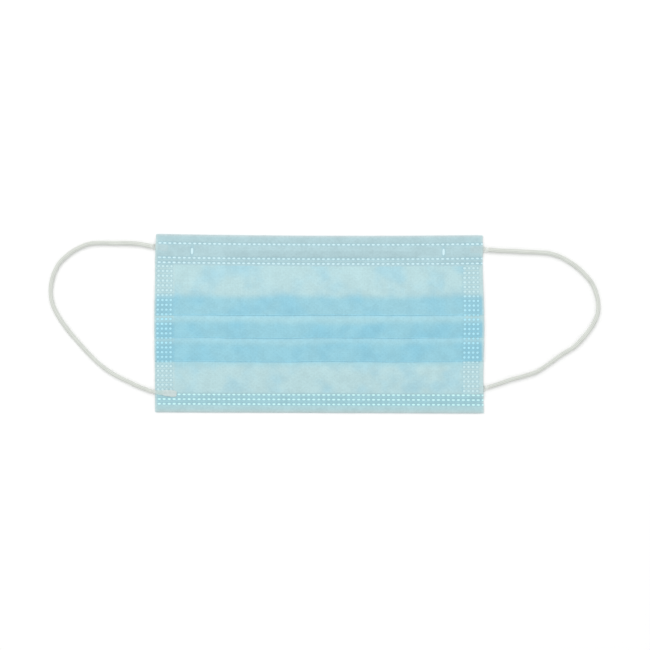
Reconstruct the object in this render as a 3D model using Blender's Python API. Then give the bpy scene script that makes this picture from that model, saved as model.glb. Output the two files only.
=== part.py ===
"""Surgical face mask, lying flat with its front up and its two ear loops laid out beside it.

Metres. The origin is at the middle of the cloth's underside, +X runs along the mask's width,
+Y points to the nose edge and +Z out of the front. The cloth is one folded sheet: a hem at each
long edge, three pleats that open downwards, and a seal at each short side that holds the pleats.
"""

import math
from typing import NamedTuple

import bmesh
import bpy
from mathutils import Vector

# The cloth
CLOTH = 0.0010  # thickness of the three plies together
MASK_WIDTH = 0.1740  # at the corners
MASK_HEIGHT = 0.0945
TOP_HEM = 0.0160  # width of the flap folded behind the nose edge
BOTTOM_HEM = 0.0112  # width of the flap folded behind the chin edge
BOTTOM_HEM_RISE = 0.0040  # run in which the cloth climbs onto the bottom flap
SIDE_SEAL = 0.0098  # width of the welded strip at each short side
SEAL_RUN = 0.0010  # run in which the layers are pressed together at the seal
SIDE_BULGE = 0.0010  # how far the side edges stand out beside the pleats

# The pleats
PLEATS = 3
PLEATS_MIDDLE_Y = -0.0081  # half way between the edges of the first and the last pleat
PLEAT_DEPTH = 0.0095  # how far the cloth goes back up under each pleat
PLEAT_STRIP = 0.0029  # strip of single cloth below each pleat's edge
GAP_AT_MIDDLE = 0.0008  # between layers, where the pleats stand open
GAP_AT_SEAL = 0.0002  # between layers, just inside the seals
GAP_PRESSED = 0.00005  # rise left between layers that are welded together

# The nose wire, a flat coated strip in the top hem
WIRE_LENGTH = 0.1000
WIRE_WIDTH = 0.0032
WIRE_THICKNESS = 0.0009
WIRE_INSET = 0.0098  # from the nose edge to the middle of the strip
WIRE_ROUNDING = 0.0003
CASING_RAMP = 0.0018  # run in which the hem comes down beside the wire

# The ear loops
LOOP_DIAMETER = 0.0024
TAB_WIDTH = 0.0042  # of the flattened ends, which are welded to the cloth
TAB_THICKNESS = 0.0007
TAB_ROUNDING = 0.0011
NECK_START = 0.0008  # outside the mask's edge, where the flat end starts to turn round
NECK_LENGTH = 0.0026
TENT_HALF_WIDTH = 0.0040  # of the cloth raised over a flattened end behind it
TENT_RAMP = 0.0024

CLEARANCE = 0.0003  # between pieces that touch on the real mask

# Fineness of the facets
BEND_STEPS = 4
RISE_STEPS = 5
HEM_STEPS = 6
SECTIONS_OVER_WIRE = 3  # on each half of the mask
TAB_SIDES = 12
TIP_STEPS = 2
LOOP_BEVEL_RESOLUTION = 2
ROUTE_STEP = 0.0048
ROUTE_STEPS_PER_SPAN = 24  # of the curve between two chosen points, before it is spaced evenly


class LoopEnd(NamedTuple):
    """A flattened end of an ear loop.

    side is -1 at the left and 1 at the right. corner is 1 near the nose edge and -1 near the chin
    edge, and inset is how far inside that edge it crosses the mask's side. tilt is in degrees, and
    positive where it runs upwards as it leaves the mask.
    """

    name: str
    side: int
    corner: int
    inset: float
    tilt: float
    length: float
    in_front: bool


LOOP_ENDS = (
    LoopEnd("loop_end_left_top", -1, 1, inset=0.0064, tilt=10, length=0.0066, in_front=False),
    LoopEnd("loop_end_left_bottom", -1, -1, inset=0.0110, tilt=12, length=0.0112, in_front=True),
    LoopEnd("loop_end_right_top", 1, 1, inset=0.0078, tilt=-2, length=0.0066, in_front=False),
    LoopEnd("loop_end_right_bottom", 1, -1, inset=0.0128, tilt=16, length=0.0066, in_front=False),
)

# Chosen points along each ear loop, from its top end to its bottom end, in millimetres outwards
# from the mask's side edge and upwards from its middle
LEFT_ROUTE_MM = (
    (9.0, 42.5), (15.5, 42.9), (22.5, 42.9), (29.5, 43.0), (35.5, 42.5), (41.5, 40.1),
    (47.0, 36.4), (51.6, 31.7), (54.6, 25.2), (55.8, 18.0), (54.9, 11.0), (51.6, 3.9),
    (46.0, -4.0), (40.0, -11.0), (34.0, -17.5), (28.0, -22.9), (21.0, -27.5),
    (14.0, -30.9), (8.5, -33.5),
)
RIGHT_ROUTE_MM = (
    (9.0, 38.9), (15.5, 38.7), (22.5, 38.3), (29.5, 38.0), (36.0, 37.3), (42.5, 34.9),
    (49.0, 30.8), (54.6, 25.7), (58.6, 20.2), (60.9, 13.0), (61.0, 6.0), (58.3, -0.6),
    (53.4, -7.2), (48.2, -12.4), (41.6, -16.5), (35.0, -21.3), (28.4, -25.5), (21.5, -27.8),
    (14.5, -29.7), (8.5, -31.8),
)

# Sizes that follow from those above
PLEAT_PITCH = PLEAT_DEPTH + PLEAT_STRIP
FIRST_FOLD_Y = PLEATS_MIDDLE_Y + PLEAT_PITCH * (PLEATS - 1) / 2
LAST_FOLD_Y = FIRST_FOLD_Y - PLEAT_PITCH * (PLEATS - 1)
HALF_WIDTH = MASK_WIDTH / 2
HALF_HEIGHT = MASK_HEIGHT / 2
SEAL_INNER_X = HALF_WIDTH - SIDE_SEAL
WIRE_Y = HALF_HEIGHT - WIRE_INSET
LOOP_RADIUS = LOOP_DIAMETER / 2
TENT_HEIGHT = TAB_THICKNESS + CLEARANCE


def ease(share):
    """Rises from 0 to 1 and is level at both ends."""
    share = min(1.0, max(0.0, share))
    return share * share * (3 - 2 * share)


class FoldedLine:
    """The line down the middle of the cloth, seen from the side, as (y, z, direction) points.

    side_points gives the cloth's two faces. pockets lists the stretches of a face that lie
    between layers, as (face, first point, last point), with their mouths at those two points.
    """

    def __init__(self, y, z):
        self.points = [(y, z, (1.0, 0.0))]
        self.pockets = []

    def last(self):
        return len(self.points) - 1

    def add(self, y, z, along_y, along_z):
        length = math.hypot(along_y, along_z)
        self.points.append((y, z, (along_y / length, along_z / length)))

    def run(self, y, z, steps=1):
        """Runs to (y, z), level at both ends."""
        y0, z0, _ = self.points[-1]
        for step in range(1, steps + 1):
            share = step / steps
            slope = 6 * share * (1 - share) * (z - z0)
            self.add(y0 + (y - y0) * share, z0 + (z - z0) * ease(share), y - y0, slope)

    def bend(self, z, outward):
        """Turns back at height z, bulging towards +Y where outward is 1 and -Y where it is -1."""
        y0, z0, _ = self.points[-1]
        radius = abs(z - z0) / 2
        for step in range(1, BEND_STEPS + 1):
            angle = math.pi * step / BEND_STEPS
            y = y0 + outward * radius * math.sin(angle)
            height = (z0 + z) / 2 - (z - z0) / 2 * math.cos(angle)
            self.add(y, height, outward * radius * math.cos(angle), (z - z0) / 2 * math.sin(angle))

    def outline(self):
        """The closed outline: the front face from end to end, then the back face back again."""
        front, back = [], []
        for y, z, (along_y, along_z) in self.points:
            out_y, out_z = along_z * CLOTH / 2, -along_y * CLOTH / 2
            front.append((y + out_y, z + out_z))
            back.append((y - out_y, z - out_z))
        return front + back[::-1]

    def outline_pockets(self):
        """pockets, as (first, last) numbers of the outline's points."""
        ends = len(self.points) * 2 - 1
        return [
            (first, last) if face == "front" else (ends - last, ends - first)
            for face, first, last in self.pockets
        ]


def folded_cloth(gap, casing_rise):
    """The cloth's line with this gap between its layers and the hem raised over the wire."""
    spacing = CLOTH + gap
    low, middle, high = (CLOTH / 2 + layer * spacing for layer in range(3))
    turn = spacing / 2 + CLOTH / 2
    wire_edge = WIRE_WIDTH / 2 + CLEARANCE

    flap_y = HALF_HEIGHT - TOP_HEM
    line = FoldedLine(flap_y, low)
    line.run(HALF_HEIGHT - turn, low, HEM_STEPS)
    line.bend(middle, outward=1)
    line.run(WIRE_Y + wire_edge + CASING_RAMP, middle)
    line.run(WIRE_Y + wire_edge, middle + casing_rise)
    line.run(WIRE_Y - wire_edge, middle + casing_rise)
    line.run(WIRE_Y - wire_edge - CASING_RAMP, middle)
    line.run(flap_y, middle)
    line.pockets.append(("back", 0, line.last()))

    line.run(FIRST_FOLD_Y + PLEAT_DEPTH, high, RISE_STEPS)
    for pleat in range(PLEATS):
        add_pleat(line, FIRST_FOLD_Y - pleat * PLEAT_PITCH, turn, (low, middle, high))
        if pleat < PLEATS - 1:
            line.run(FIRST_FOLD_Y - pleat * PLEAT_PITCH - PLEAT_STRIP, high, RISE_STEPS)

    flap_y = BOTTOM_HEM - HALF_HEIGHT
    line.run(flap_y + BOTTOM_HEM_RISE, low)
    line.run(flap_y, middle, RISE_STEPS)
    mouth = line.last()
    line.run(turn - HALF_HEIGHT, middle, HEM_STEPS)
    line.bend(low, outward=-1)
    line.run(flap_y, low, HEM_STEPS)
    line.pockets.append(("back", mouth, line.last()))
    return line


def add_pleat(line, fold_y, turn, levels):
    """Front flap down to its edge at fold_y, back up under it, and down again at the bottom."""
    low, middle, high = levels
    hidden_y = fold_y + PLEAT_DEPTH
    line.run(hidden_y - turn, high)
    back_mouth = line.last()
    line.run(fold_y + turn, high)
    line.bend(middle, outward=-1)
    front_mouth = line.last()
    line.run(hidden_y - turn, middle)
    line.pockets.append(("back", back_mouth, line.last()))
    line.bend(low, outward=1)
    line.run(fold_y + turn, low)
    line.pockets.append(("front", front_mouth, line.last()))
    line.run(fold_y, low)


def gap_at(x):
    """The gap between layers, which is widest half way along the mask."""
    if abs(x) > SEAL_INNER_X:
        return GAP_PRESSED
    return GAP_AT_MIDDLE + (GAP_AT_SEAL - GAP_AT_MIDDLE) * (x / SEAL_INNER_X) ** 2


def casing_rise_at(x):
    """How far the hem's front stands above its own layer's level, to clear the nose wire."""
    wire_end = WIRE_LENGTH / 2 + CLEARANCE
    full = max(0.0, WIRE_THICKNESS + 2 * CLEARANCE - gap_at(x))
    return full * (1 - ease((abs(x) - wire_end) / CASING_RAMP))


def end_y(end):
    """Where this loop end crosses the mask's side edge."""
    return end.corner * (HALF_HEIGHT - end.inset)


def bulge_at(x, y):
    """How far the side edges stand out, between the hem and the last pleat's edge."""
    middle = (FIRST_FOLD_Y + PLEAT_DEPTH + LAST_FOLD_Y) / 2
    half_length = (FIRST_FOLD_Y + PLEAT_DEPTH - LAST_FOLD_Y) / 2 + PLEAT_STRIP
    across = 1 - abs(y - middle) / half_length
    along = (abs(x) - SEAL_INNER_X) / SIDE_SEAL
    return math.copysign(SIDE_BULGE * ease(2 * across) * ease(along), x)


def tent_at(x, y):
    """How far the cloth is raised over the flattened loop ends behind it."""
    height = 0.0
    for end in LOOP_ENDS:
        if end.in_front or x * end.side <= 0:
            continue
        middle = end_y(end) - math.tan(math.radians(end.tilt)) * end.length / 2
        along = (abs(x) - SEAL_INNER_X - SEAL_RUN) / (HALF_WIDTH - end.length - SEAL_INNER_X - SEAL_RUN)
        across = 1 - (abs(y - middle) - TENT_HALF_WIDTH) / TENT_RAMP
        height = max(height, TENT_HEIGHT * ease(along) * ease(across))
    return height


def half_stations():
    """The places along X, from the middle to the right edge, at which the cloth's section is set."""
    wire_end = WIRE_LENGTH / 2 + CLEARANCE
    ramp_end = wire_end + CASING_RAMP
    tab_end = HALF_WIDTH - max(end.length for end in LOOP_ENDS if not end.in_front) - CLEARANCE
    over_wire = [wire_end * k / SECTIONS_OVER_WIRE for k in range(SECTIONS_OVER_WIRE + 1)]
    beside_wire = [ramp_end, (ramp_end + SEAL_INNER_X) / 2]
    return over_wire + beside_wire + [SEAL_INNER_X, SEAL_INNER_X + SEAL_RUN, tab_end, HALF_WIDTH]


def build_cloth():
    """One closed mesh. Its sections keep the pockets between layers up to the seals, which close
    them, and leave them out from there to the mask's edges."""
    right = half_stations()
    stations = [-x for x in right[:0:-1]] + right
    pockets = folded_cloth(GAP_AT_MIDDLE, 0.0).outline_pockets()
    bm = bmesh.new()
    rings = []
    for x in stations:
        outline = folded_cloth(gap_at(x), casing_rise_at(x)).outline()
        inside = {
            number
            for first, last in pockets
            for number in range(first + 1, last)
            if abs(x) > SEAL_INNER_X
        }
        rings.append({
            number: bm.verts.new((x + bulge_at(x, y), y, z + tent_at(x, y)))
            for number, (y, z) in enumerate(outline)
            if number not in inside
        })
    for ring, following in zip(rings, rings[1:]):
        shared = sorted(set(ring) & set(following))
        for number, next_number in zip(shared, shared[1:] + shared[:1]):
            bm.faces.new((ring[number], ring[next_number], following[next_number], following[number]))
    for ring, x in zip(rings, stations):
        if abs(x) == SEAL_INNER_X:
            for first, last in pockets:
                bm.faces.new([ring[number] for number in range(first, last + 1)])
        if abs(x) == HALF_WIDTH:
            bm.faces.new([ring[number] for number in sorted(ring)])
    bmesh.ops.recalc_face_normals(bm, faces=bm.faces)
    return mesh_object("pleated_panel", bm)


def build_nose_wire():
    """The coated strip, lying on the hem's flap inside its casing."""
    bm = bmesh.new()
    bmesh.ops.create_cube(bm, size=1.0)
    bmesh.ops.scale(bm, verts=bm.verts, vec=(WIRE_LENGTH, WIRE_WIDTH, WIRE_THICKNESS))
    bmesh.ops.bevel(bm, geom=bm.edges, offset=WIRE_ROUNDING, segments=2, affect="EDGES")
    wire = mesh_object("nose_wire", bm)
    wire.location = (0, WIRE_Y, CLOTH + CLEARANCE + WIRE_THICKNESS / 2)
    return wire


def outward_direction(end):
    """The way the ear loop leaves the mask at this end."""
    tilt = math.radians(end.tilt)
    return Vector((end.side * math.cos(tilt), math.sin(tilt), 0))


def tab_height(end):
    """Height of the middle of the flat part: on the hem, or under the cloth on the surface."""
    hem_top = 2 * CLOTH + gap_at(min(HALF_WIDTH - end.length, SEAL_INNER_X))
    return hem_top + CLEARANCE + TAB_THICKNESS / 2 if end.in_front else TAB_THICKNESS / 2


def neck_height(end):
    """Height of the ear loop's middle where it meets this end."""
    return tab_height(end) if end.in_front else LOOP_RADIUS


def loop_start(end):
    """Where the ear loop itself begins, clear of its flattened end."""
    start = Vector((end.side * HALF_WIDTH, end_y(end), neck_height(end)))
    return start + outward_direction(end) * (NECK_LENGTH + CLEARANCE)


def build_loop_end(end):
    """The end of an ear loop, flattened where it is welded to the cloth and round at its neck."""
    flat = tab_height(end)
    sections = []
    for step in range(TIP_STEPS + 1):
        angle = math.pi / 2 * step / TIP_STEPS
        along = TAB_ROUNDING * (1 - math.cos(angle)) - end.length
        half_wide = TAB_WIDTH / 2 - TAB_ROUNDING * (1 - math.sin(angle))
        sections.append((along, half_wide, TAB_THICKNESS / 2, flat))
    sections.append((NECK_START, TAB_WIDTH / 2, TAB_THICKNESS / 2, flat))
    sections.append((NECK_LENGTH, LOOP_RADIUS, LOOP_RADIUS, neck_height(end)))
    outward = outward_direction(end)
    up = Vector((0, 0, 1))
    across = outward.cross(up)
    edge = Vector((end.side * HALF_WIDTH, end_y(end), 0))
    bm = bmesh.new()
    rings = []
    for along, half_wide, half_thick, height in sections:
        middle = edge + outward * along + up * height
        angles = [2 * math.pi * k / TAB_SIDES for k in range(TAB_SIDES)]
        rings.append([
            bm.verts.new(middle + across * half_wide * math.cos(a) + up * half_thick * math.sin(a))
            for a in angles
        ])
    for ring, following in zip(rings, rings[1:]):
        for k in range(TAB_SIDES):
            j = (k + 1) % TAB_SIDES
            bm.faces.new((ring[k], ring[j], following[j], following[k]))
    bm.faces.new(rings[0])
    bm.faces.new(rings[-1])
    bmesh.ops.recalc_face_normals(bm, faces=bm.faces)
    return mesh_object(end.name, bm)


def smooth_route(points, step):
    """Points about a step apart on a Catmull-Rom curve through the given ones."""
    padded = [2 * points[0] - points[1], *points, 2 * points[-1] - points[-2]]
    fine = []
    for before, a, b, after in zip(padded, padded[1:], padded[2:], padded[3:]):
        for k in range(ROUTE_STEPS_PER_SPAN):
            t = k / ROUTE_STEPS_PER_SPAN
            fine.append(0.5 * (
                2 * a + (b - before) * t + (2 * before - 5 * a + 4 * b - after) * t**2
                + (3 * a - before - 3 * b + after) * t**3
            ))
    fine.append(points[-1])
    lengths = [0.0]
    for a, b in zip(fine, fine[1:]):
        lengths.append(lengths[-1] + (b - a).length)
    count = max(2, round(lengths[-1] / step))
    spaced, k = [], 0
    for number in range(count + 1):
        wanted = lengths[-1] * number / count
        while k < len(fine) - 2 and lengths[k + 1] < wanted:
            k += 1
        share = (wanted - lengths[k]) / (lengths[k + 1] - lengths[k])
        spaced.append(fine[k].lerp(fine[k + 1], share))
    return spaced


def build_ear_loop(name, top_end, bottom_end, route_mm):
    """The round elastic, lying on the surface that the mask lies on."""
    on_surface = [
        Vector((top_end.side * (HALF_WIDTH + out / 1000), up / 1000, LOOP_RADIUS))
        for out, up in route_mm
    ]
    points = [loop_start(top_end), *on_surface, loop_start(bottom_end)]
    route = smooth_route(points, ROUTE_STEP)
    for point in route:
        point.z = max(point.z, LOOP_RADIUS)
    curve = bpy.data.curves.new(name, "CURVE")
    curve.dimensions = "3D"
    curve.bevel_depth = LOOP_RADIUS
    curve.bevel_resolution = LOOP_BEVEL_RESOLUTION
    curve.use_fill_caps = True
    spline = curve.splines.new("POLY")
    spline.points.add(len(route) - 1)
    for point, place in zip(spline.points, route):
        point.co = (*place, 1.0)
    loop = bpy.data.objects.new(name, curve)
    bpy.context.scene.collection.objects.link(loop)
    return loop


def mesh_object(name, bm):
    """A new object in the scene, made of this bmesh."""
    mesh = bpy.data.meshes.new(name)
    bm.to_mesh(mesh)
    bm.free()
    made = bpy.data.objects.new(name, mesh)
    bpy.context.scene.collection.objects.link(made)
    return made


def paint(made, name, colour, roughness, metallic=0.0):
    """Gives an object a plain material of its own."""
    material = bpy.data.materials.new(name)
    material.use_nodes = True
    shader = material.node_tree.nodes["Principled BSDF"]
    shader.inputs["Base Color"].default_value = (*colour, 1.0)
    shader.inputs["Roughness"].default_value = roughness
    shader.inputs["Metallic"].default_value = metallic
    made.data.materials.append(material)


def main():
    for old in list(bpy.data.objects):
        bpy.data.objects.remove(old)
    paint(build_cloth(), "blue nonwoven", (0.42, 0.62, 0.68), 0.85)
    paint(build_nose_wire(), "white coated wire", (0.80, 0.80, 0.78), 0.45)
    for end in LOOP_ENDS:
        paint(build_loop_end(end), end.name, (0.68, 0.69, 0.66), 0.6)
    left_top, left_bottom, right_top, right_bottom = LOOP_ENDS
    for loop in (
        build_ear_loop("ear_loop_left", left_top, left_bottom, LEFT_ROUTE_MM),
        build_ear_loop("ear_loop_right", right_top, right_bottom, RIGHT_ROUTE_MM),
    ):
        paint(loop, loop.name, (0.66, 0.67, 0.63), 0.9)


main()
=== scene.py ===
# %% [markdown]
# # A surgical face mask, laid flat
#
# The real object is one sheet of three thin plies of bonded fibre. Its long edges are folded back as
# hems, three pleats are folded across it, and both short sides are welded so that the pleats stay.
# A coated wire lies in the nose hem, and each short side carries a loop of round elastic.
#
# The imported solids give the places. Everything that shows is built here around them.

import math
from typing import NamedTuple

import bpy
import numpy as np
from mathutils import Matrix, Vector


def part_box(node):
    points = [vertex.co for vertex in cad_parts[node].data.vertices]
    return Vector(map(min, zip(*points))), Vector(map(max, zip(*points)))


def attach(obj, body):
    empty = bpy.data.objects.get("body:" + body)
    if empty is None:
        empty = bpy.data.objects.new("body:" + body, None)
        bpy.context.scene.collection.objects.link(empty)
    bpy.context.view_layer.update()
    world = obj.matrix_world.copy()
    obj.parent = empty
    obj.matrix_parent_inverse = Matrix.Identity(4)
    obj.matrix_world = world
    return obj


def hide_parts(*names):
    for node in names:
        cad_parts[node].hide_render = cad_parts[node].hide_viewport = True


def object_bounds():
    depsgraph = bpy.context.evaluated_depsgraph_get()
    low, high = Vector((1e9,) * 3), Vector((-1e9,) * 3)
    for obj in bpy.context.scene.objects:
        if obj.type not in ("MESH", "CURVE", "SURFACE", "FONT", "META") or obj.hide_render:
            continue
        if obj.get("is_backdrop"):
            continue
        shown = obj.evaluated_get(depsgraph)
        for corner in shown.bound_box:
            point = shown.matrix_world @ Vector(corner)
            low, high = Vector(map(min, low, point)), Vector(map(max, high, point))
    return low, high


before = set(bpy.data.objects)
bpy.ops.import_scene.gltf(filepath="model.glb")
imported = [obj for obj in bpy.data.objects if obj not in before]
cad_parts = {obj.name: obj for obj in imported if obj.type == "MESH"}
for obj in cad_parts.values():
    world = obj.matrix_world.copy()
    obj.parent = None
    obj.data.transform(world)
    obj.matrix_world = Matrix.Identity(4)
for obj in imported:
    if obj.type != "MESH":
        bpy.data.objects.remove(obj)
solid_box = [list(corner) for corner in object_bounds()]

MM = 0.001
BODY = "root"
panel_low, panel_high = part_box("pleated_panel")
print("solids:", ", ".join(sorted(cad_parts)))
print("panel, mm:", [round(side / MM, 1) for side in panel_high - panel_low])

# %% [markdown]
# ## Camera
#
# The photo looks straight down. A long lens keeps the outline almost free of perspective. Half a
# millimetre of the real mask covers about one pixel, so the width of the view is 650 pixels at that
# scale, and the picture's middle lies a little to the right of the mask's middle.

# %% Camera
PHOTO_PIXELS = 650
PIXEL = 0.532 * MM
MIDDLE_OF_PHOTO = (3.0 * MM, -0.6 * MM)
LENS = 100.0
SENSOR = 36.0
FARTHEST_SEEN = 20.0


def placed(name, data):
    """A new object in the scene."""
    made = bpy.data.objects.new(name, data)
    bpy.context.scene.collection.objects.link(made)
    return made


camera = placed("camera", bpy.data.cameras.new("camera"))
camera.data.lens = LENS
camera.data.sensor_width = SENSOR
camera.data.clip_end = FARTHEST_SEEN
camera.location = (*MIDDLE_OF_PHOTO, LENS / SENSOR * PHOTO_PIXELS * PIXEL)
bpy.context.scene.camera = camera
print("camera height, m:", round(camera.location.z, 3))

# %% [markdown]
# ## Light and floor
#
# The photo is almost free of shadow, with a white ground. A white sky does most of that work, and one
# wide, soft lamp beyond the nose edge brightens what faces it: each pleat's edge curls down away from
# it and reads as a darker line, and the strip below that edge is bright. The floor is a plain white
# sheet that the light takes to full white.

# %% Light and floor
SKY_STRENGTH = 0.93
LAMP_PLACE = Vector((-0.25, 0.75, 1.10))
LAMP_SIDE = 0.9
LAMP_WATTS = 5.4
FLOOR_SIDE = 6.0
FLOOR_WHITE = 0.92


def sky(strength):
    """A plain white sky."""
    world = bpy.data.worlds.new("white sky")
    world.use_nodes = True
    background = world.node_tree.nodes["Background"]
    background.inputs["Color"].default_value = (1, 1, 1, 1)
    background.inputs["Strength"].default_value = strength
    bpy.context.scene.world = world


def soft_lamp(place, side, watts):
    """A square lamp that points at the mask."""
    data = bpy.data.lights.new("soft lamp", "AREA")
    data.size = side
    data.energy = watts
    lamp = placed("soft lamp", data)
    lamp.location = place
    lamp.rotation_euler = (-place).to_track_quat("-Z", "Y").to_euler()


def floor(side, white):
    """A square of plain floor at height 0."""
    mesh = bpy.data.meshes.new("floor")
    half = side / 2
    corners = [(-half, -half, 0), (half, -half, 0), (half, half, 0), (-half, half, 0)]
    mesh.from_pydata(corners, [], [(0, 1, 2, 3)])
    material = bpy.data.materials.new("white floor")
    material.use_nodes = True
    shader = material.node_tree.nodes["Principled BSDF"]
    shader.inputs["Base Color"].default_value = (white, white, white, 1)
    shader.inputs["Roughness"].default_value = 0.9
    shader.inputs["Specular IOR Level"].default_value = 0.1
    mesh.materials.append(material)
    placed("floor", mesh)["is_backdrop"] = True


bpy.context.scene.view_settings.view_transform = "Standard"
sky(SKY_STRENGTH)
soft_lamp(LAMP_PLACE, LAMP_SIDE, LAMP_WATTS)
floor(FLOOR_SIDE, FLOOR_WHITE)

# %% [markdown]
# ## The ear loops' routes
#
# Each ear loop is a length of round, knitted elastic that lies loose on the surface, and both its
# ends go back into the mask. The table holds where the four flattened ends cross the mask's side
# edges, and the two lists hold the places that the elastic passes, outwards from that edge and up
# from the middle. One smooth curve runs through each list.

# %% Routes of the ear loops
HALF_WIDTH = 87.0 * MM
NECK_LENGTH = 2.6 * MM


class LoopEnd(NamedTuple):
    """A flattened end. side is -1 at the left. y is its height up the mask at the mask's edge, and
    tilt is in degrees, positive where it runs upwards as it leaves the mask."""

    name: str
    solid: str
    side: int
    y: float
    tilt: float
    length: float
    in_front: bool
    inner_tilt: float  # of the flat part, which the press held straighter


LOOP_ENDS = (
    LoopEnd("elastic_end_left_top", "loop_end_left_top", -1, 40.85 * MM, 10, 6.6 * MM, False, 10),
    LoopEnd("elastic_end_left_bottom", "loop_end_left_bottom", -1, -36.25 * MM, 12, 11.2 * MM, True, 5),
    LoopEnd("elastic_end_right_top", "loop_end_right_top", 1, 39.45 * MM, -2, 6.6 * MM, False, -2),
    LoopEnd("elastic_end_right_bottom", "loop_end_right_bottom", 1, -34.45 * MM, 16, 6.6 * MM, False, 16),
)
LEFT_ROUTE_MM = (
    (9.0, 42.5), (15.5, 42.9), (22.5, 42.9), (29.5, 43.0), (35.5, 42.5), (41.5, 40.1), (47.0, 36.4),
    (51.6, 31.7), (54.6, 25.2), (55.8, 18.0), (54.9, 11.0), (51.6, 3.9), (46.0, -4.0), (40.0, -11.0),
    (34.0, -17.5), (28.0, -22.9), (21.0, -27.5), (14.0, -30.9), (8.5, -33.5),
)
RIGHT_ROUTE_MM = (
    (9.0, 38.9), (15.5, 38.7), (22.5, 38.3), (29.5, 38.0), (36.0, 37.3), (42.5, 34.9), (49.0, 30.8),
    (54.6, 25.7), (58.6, 20.2), (60.9, 13.0), (61.0, 6.0), (58.3, -0.6), (53.4, -7.2), (48.2, -12.4),
    (41.6, -16.5), (35.0, -21.3), (28.4, -25.5), (21.5, -27.8), (14.5, -29.7), (8.5, -31.8),
)
CURVE_STEPS = 60  # between two places of a route


def outward(end, tilt=None):
    """The way the elastic leaves the mask at this end, or with another tilt."""
    angle = math.radians(end.tilt if tilt is None else tilt)
    return np.array([end.side * math.cos(angle), math.sin(angle)])


def loop_start(end):
    """Where the round elastic begins, outside the mask's edge."""
    return np.array([end.side * HALF_WIDTH, end.y]) + outward(end) * NECK_LENGTH


def smooth_line(points, step):
    """Points about a step apart on a smooth curve through the given ones, and how far along each is."""
    padded = np.vstack([2 * points[0] - points[1], points, 2 * points[-1] - points[-2]])
    t = np.arange(CURVE_STEPS)[:, None] / CURVE_STEPS
    fine = [
        (2 * a + (b - before) * t + (2 * before - 5 * a + 4 * b - after) * t**2
         + (3 * a - before - 3 * b + after) * t**3) / 2
        for before, a, b, after in zip(padded, padded[1:], padded[2:], padded[3:])
    ]
    fine = np.vstack([*fine, points[-1]])
    lengths = np.concatenate([[0.0], np.cumsum(np.hypot(*np.diff(fine, axis=0).T))])
    along = np.linspace(0, lengths[-1], round(lengths[-1] / step) + 1)
    return np.stack([np.interp(along, lengths, fine[:, k]) for k in range(2)], axis=1), along


def route_of(top, bottom, route_mm):
    """The whole route of one loop, from its top end to its bottom end."""
    between = [(top.side * (HALF_WIDTH + out * MM), up * MM) for out, up in route_mm]
    return np.array([loop_start(top), *between, loop_start(bottom)])


left_top, left_bottom, right_top, right_bottom = LOOP_ENDS
routes = {
    "elastic_left": (left_top, left_bottom, route_of(left_top, left_bottom, LEFT_ROUTE_MM)),
    "elastic_right": (right_top, right_bottom, route_of(right_top, right_bottom, RIGHT_ROUTE_MM)),
}
for name, (_, _, route) in routes.items():
    print(name, "length, mm:", round(smooth_line(route, MM)[1][-1] / MM, 1))

# %% [markdown]
# ## Knitted elastic
#
# Round elastic is knitted over rubber threads. Its surface is ribs that run along it, and in each rib
# the stitches lie one behind the other like arrow heads. At this scale the ribs can be real relief:
# the tube's radius is moved by a short formula, and the same formula is kept as an attribute, so that
# the material paints shade into the grooves and light onto the stitches. Where an end is melted flat,
# the relief fades out.

# %% Knitted elastic
RIBS = 8
SIDES_PER_RIB = 6
STITCH = 0.85 * MM
RING_STEP = 0.17 * MM
GROOVE_DEPTH = 0.075 * MM
STITCH_DEPTH = 0.045 * MM
RIB_TWIST = 14.0  # ribs that pass the top in a metre


def knit(angle, along):
    """How deep the groove between ribs is, and how high the stitch, both from 0 to 1."""
    across = (angle / (2 * np.pi) * RIBS + RIB_TWIST * along) % 1.0 - 0.5
    groove = (2 * np.abs(across)) ** 3
    stitch = 0.5 + 0.5 * np.cos(2 * np.pi * (along / STITCH + 0.9 * np.abs(across)))
    return groove, stitch * (1 - groove)


def note_on(mesh, name, values):
    """Keeps a value for each vertex, under a name that a material can read."""
    kept = mesh.attributes.get(name) or mesh.attributes.new(name, "FLOAT", "POINT")
    kept.data.foreach_set("value", np.ravel(values))


def tube(name, middles, half_wide, half_thick, along, melted, dents=None):
    """A closed tube round a line of points, as a mesh object, knitted where it isn't melted."""
    heading = np.gradient(middles[:, :2], axis=0)
    heading /= np.linalg.norm(heading, axis=1)[:, None]
    across = np.stack([heading[:, 1], -heading[:, 0], 0 * along], axis=1)
    sides = RIBS * SIDES_PER_RIB
    angle = 2 * np.pi * np.arange(sides) / sides
    groove, stitch = knit(angle[None, :], along[:, None])
    knitted = (1 - melted)[:, None]
    relief = knitted * (STITCH_DEPTH * (stitch - 0.5) - GROOVE_DEPTH * groove)
    wide = (half_wide[:, None] + relief) * np.cos(angle)
    thick = (half_thick[:, None] + relief) * np.sin(angle)
    places = middles[:, None, :] + across[:, None, :] * wide[..., None]
    places[..., 2] += thick
    if dents is not None:
        places[..., 2] -= dents(places[..., 0], places[..., 1]) * melted[:, None] * np.sin(angle)
    rings = len(middles)
    ring, side = np.meshgrid(np.arange(rings - 1), np.arange(sides), indexing="ij")
    after = (side + 1) % sides
    here, ahead = ring * sides, (ring + 1) * sides
    corners = [here + side, here + after, ahead + after, ahead + side]
    faces = np.stack(corners, axis=-1).reshape(-1, 4).tolist()
    faces += [list(range(sides))[::-1], list(range((rings - 1) * sides, rings * sides))]
    mesh = bpy.data.meshes.new(name)
    mesh.from_pydata(places.reshape(-1, 3).tolist(), [], faces)
    mesh.shade_smooth()
    note_on(mesh, "groove", groove * knitted)
    note_on(mesh, "stitch", stitch * knitted)
    note_on(mesh, "melted", melted[:, None] + 0 * groove)
    return placed(name, mesh)


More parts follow.
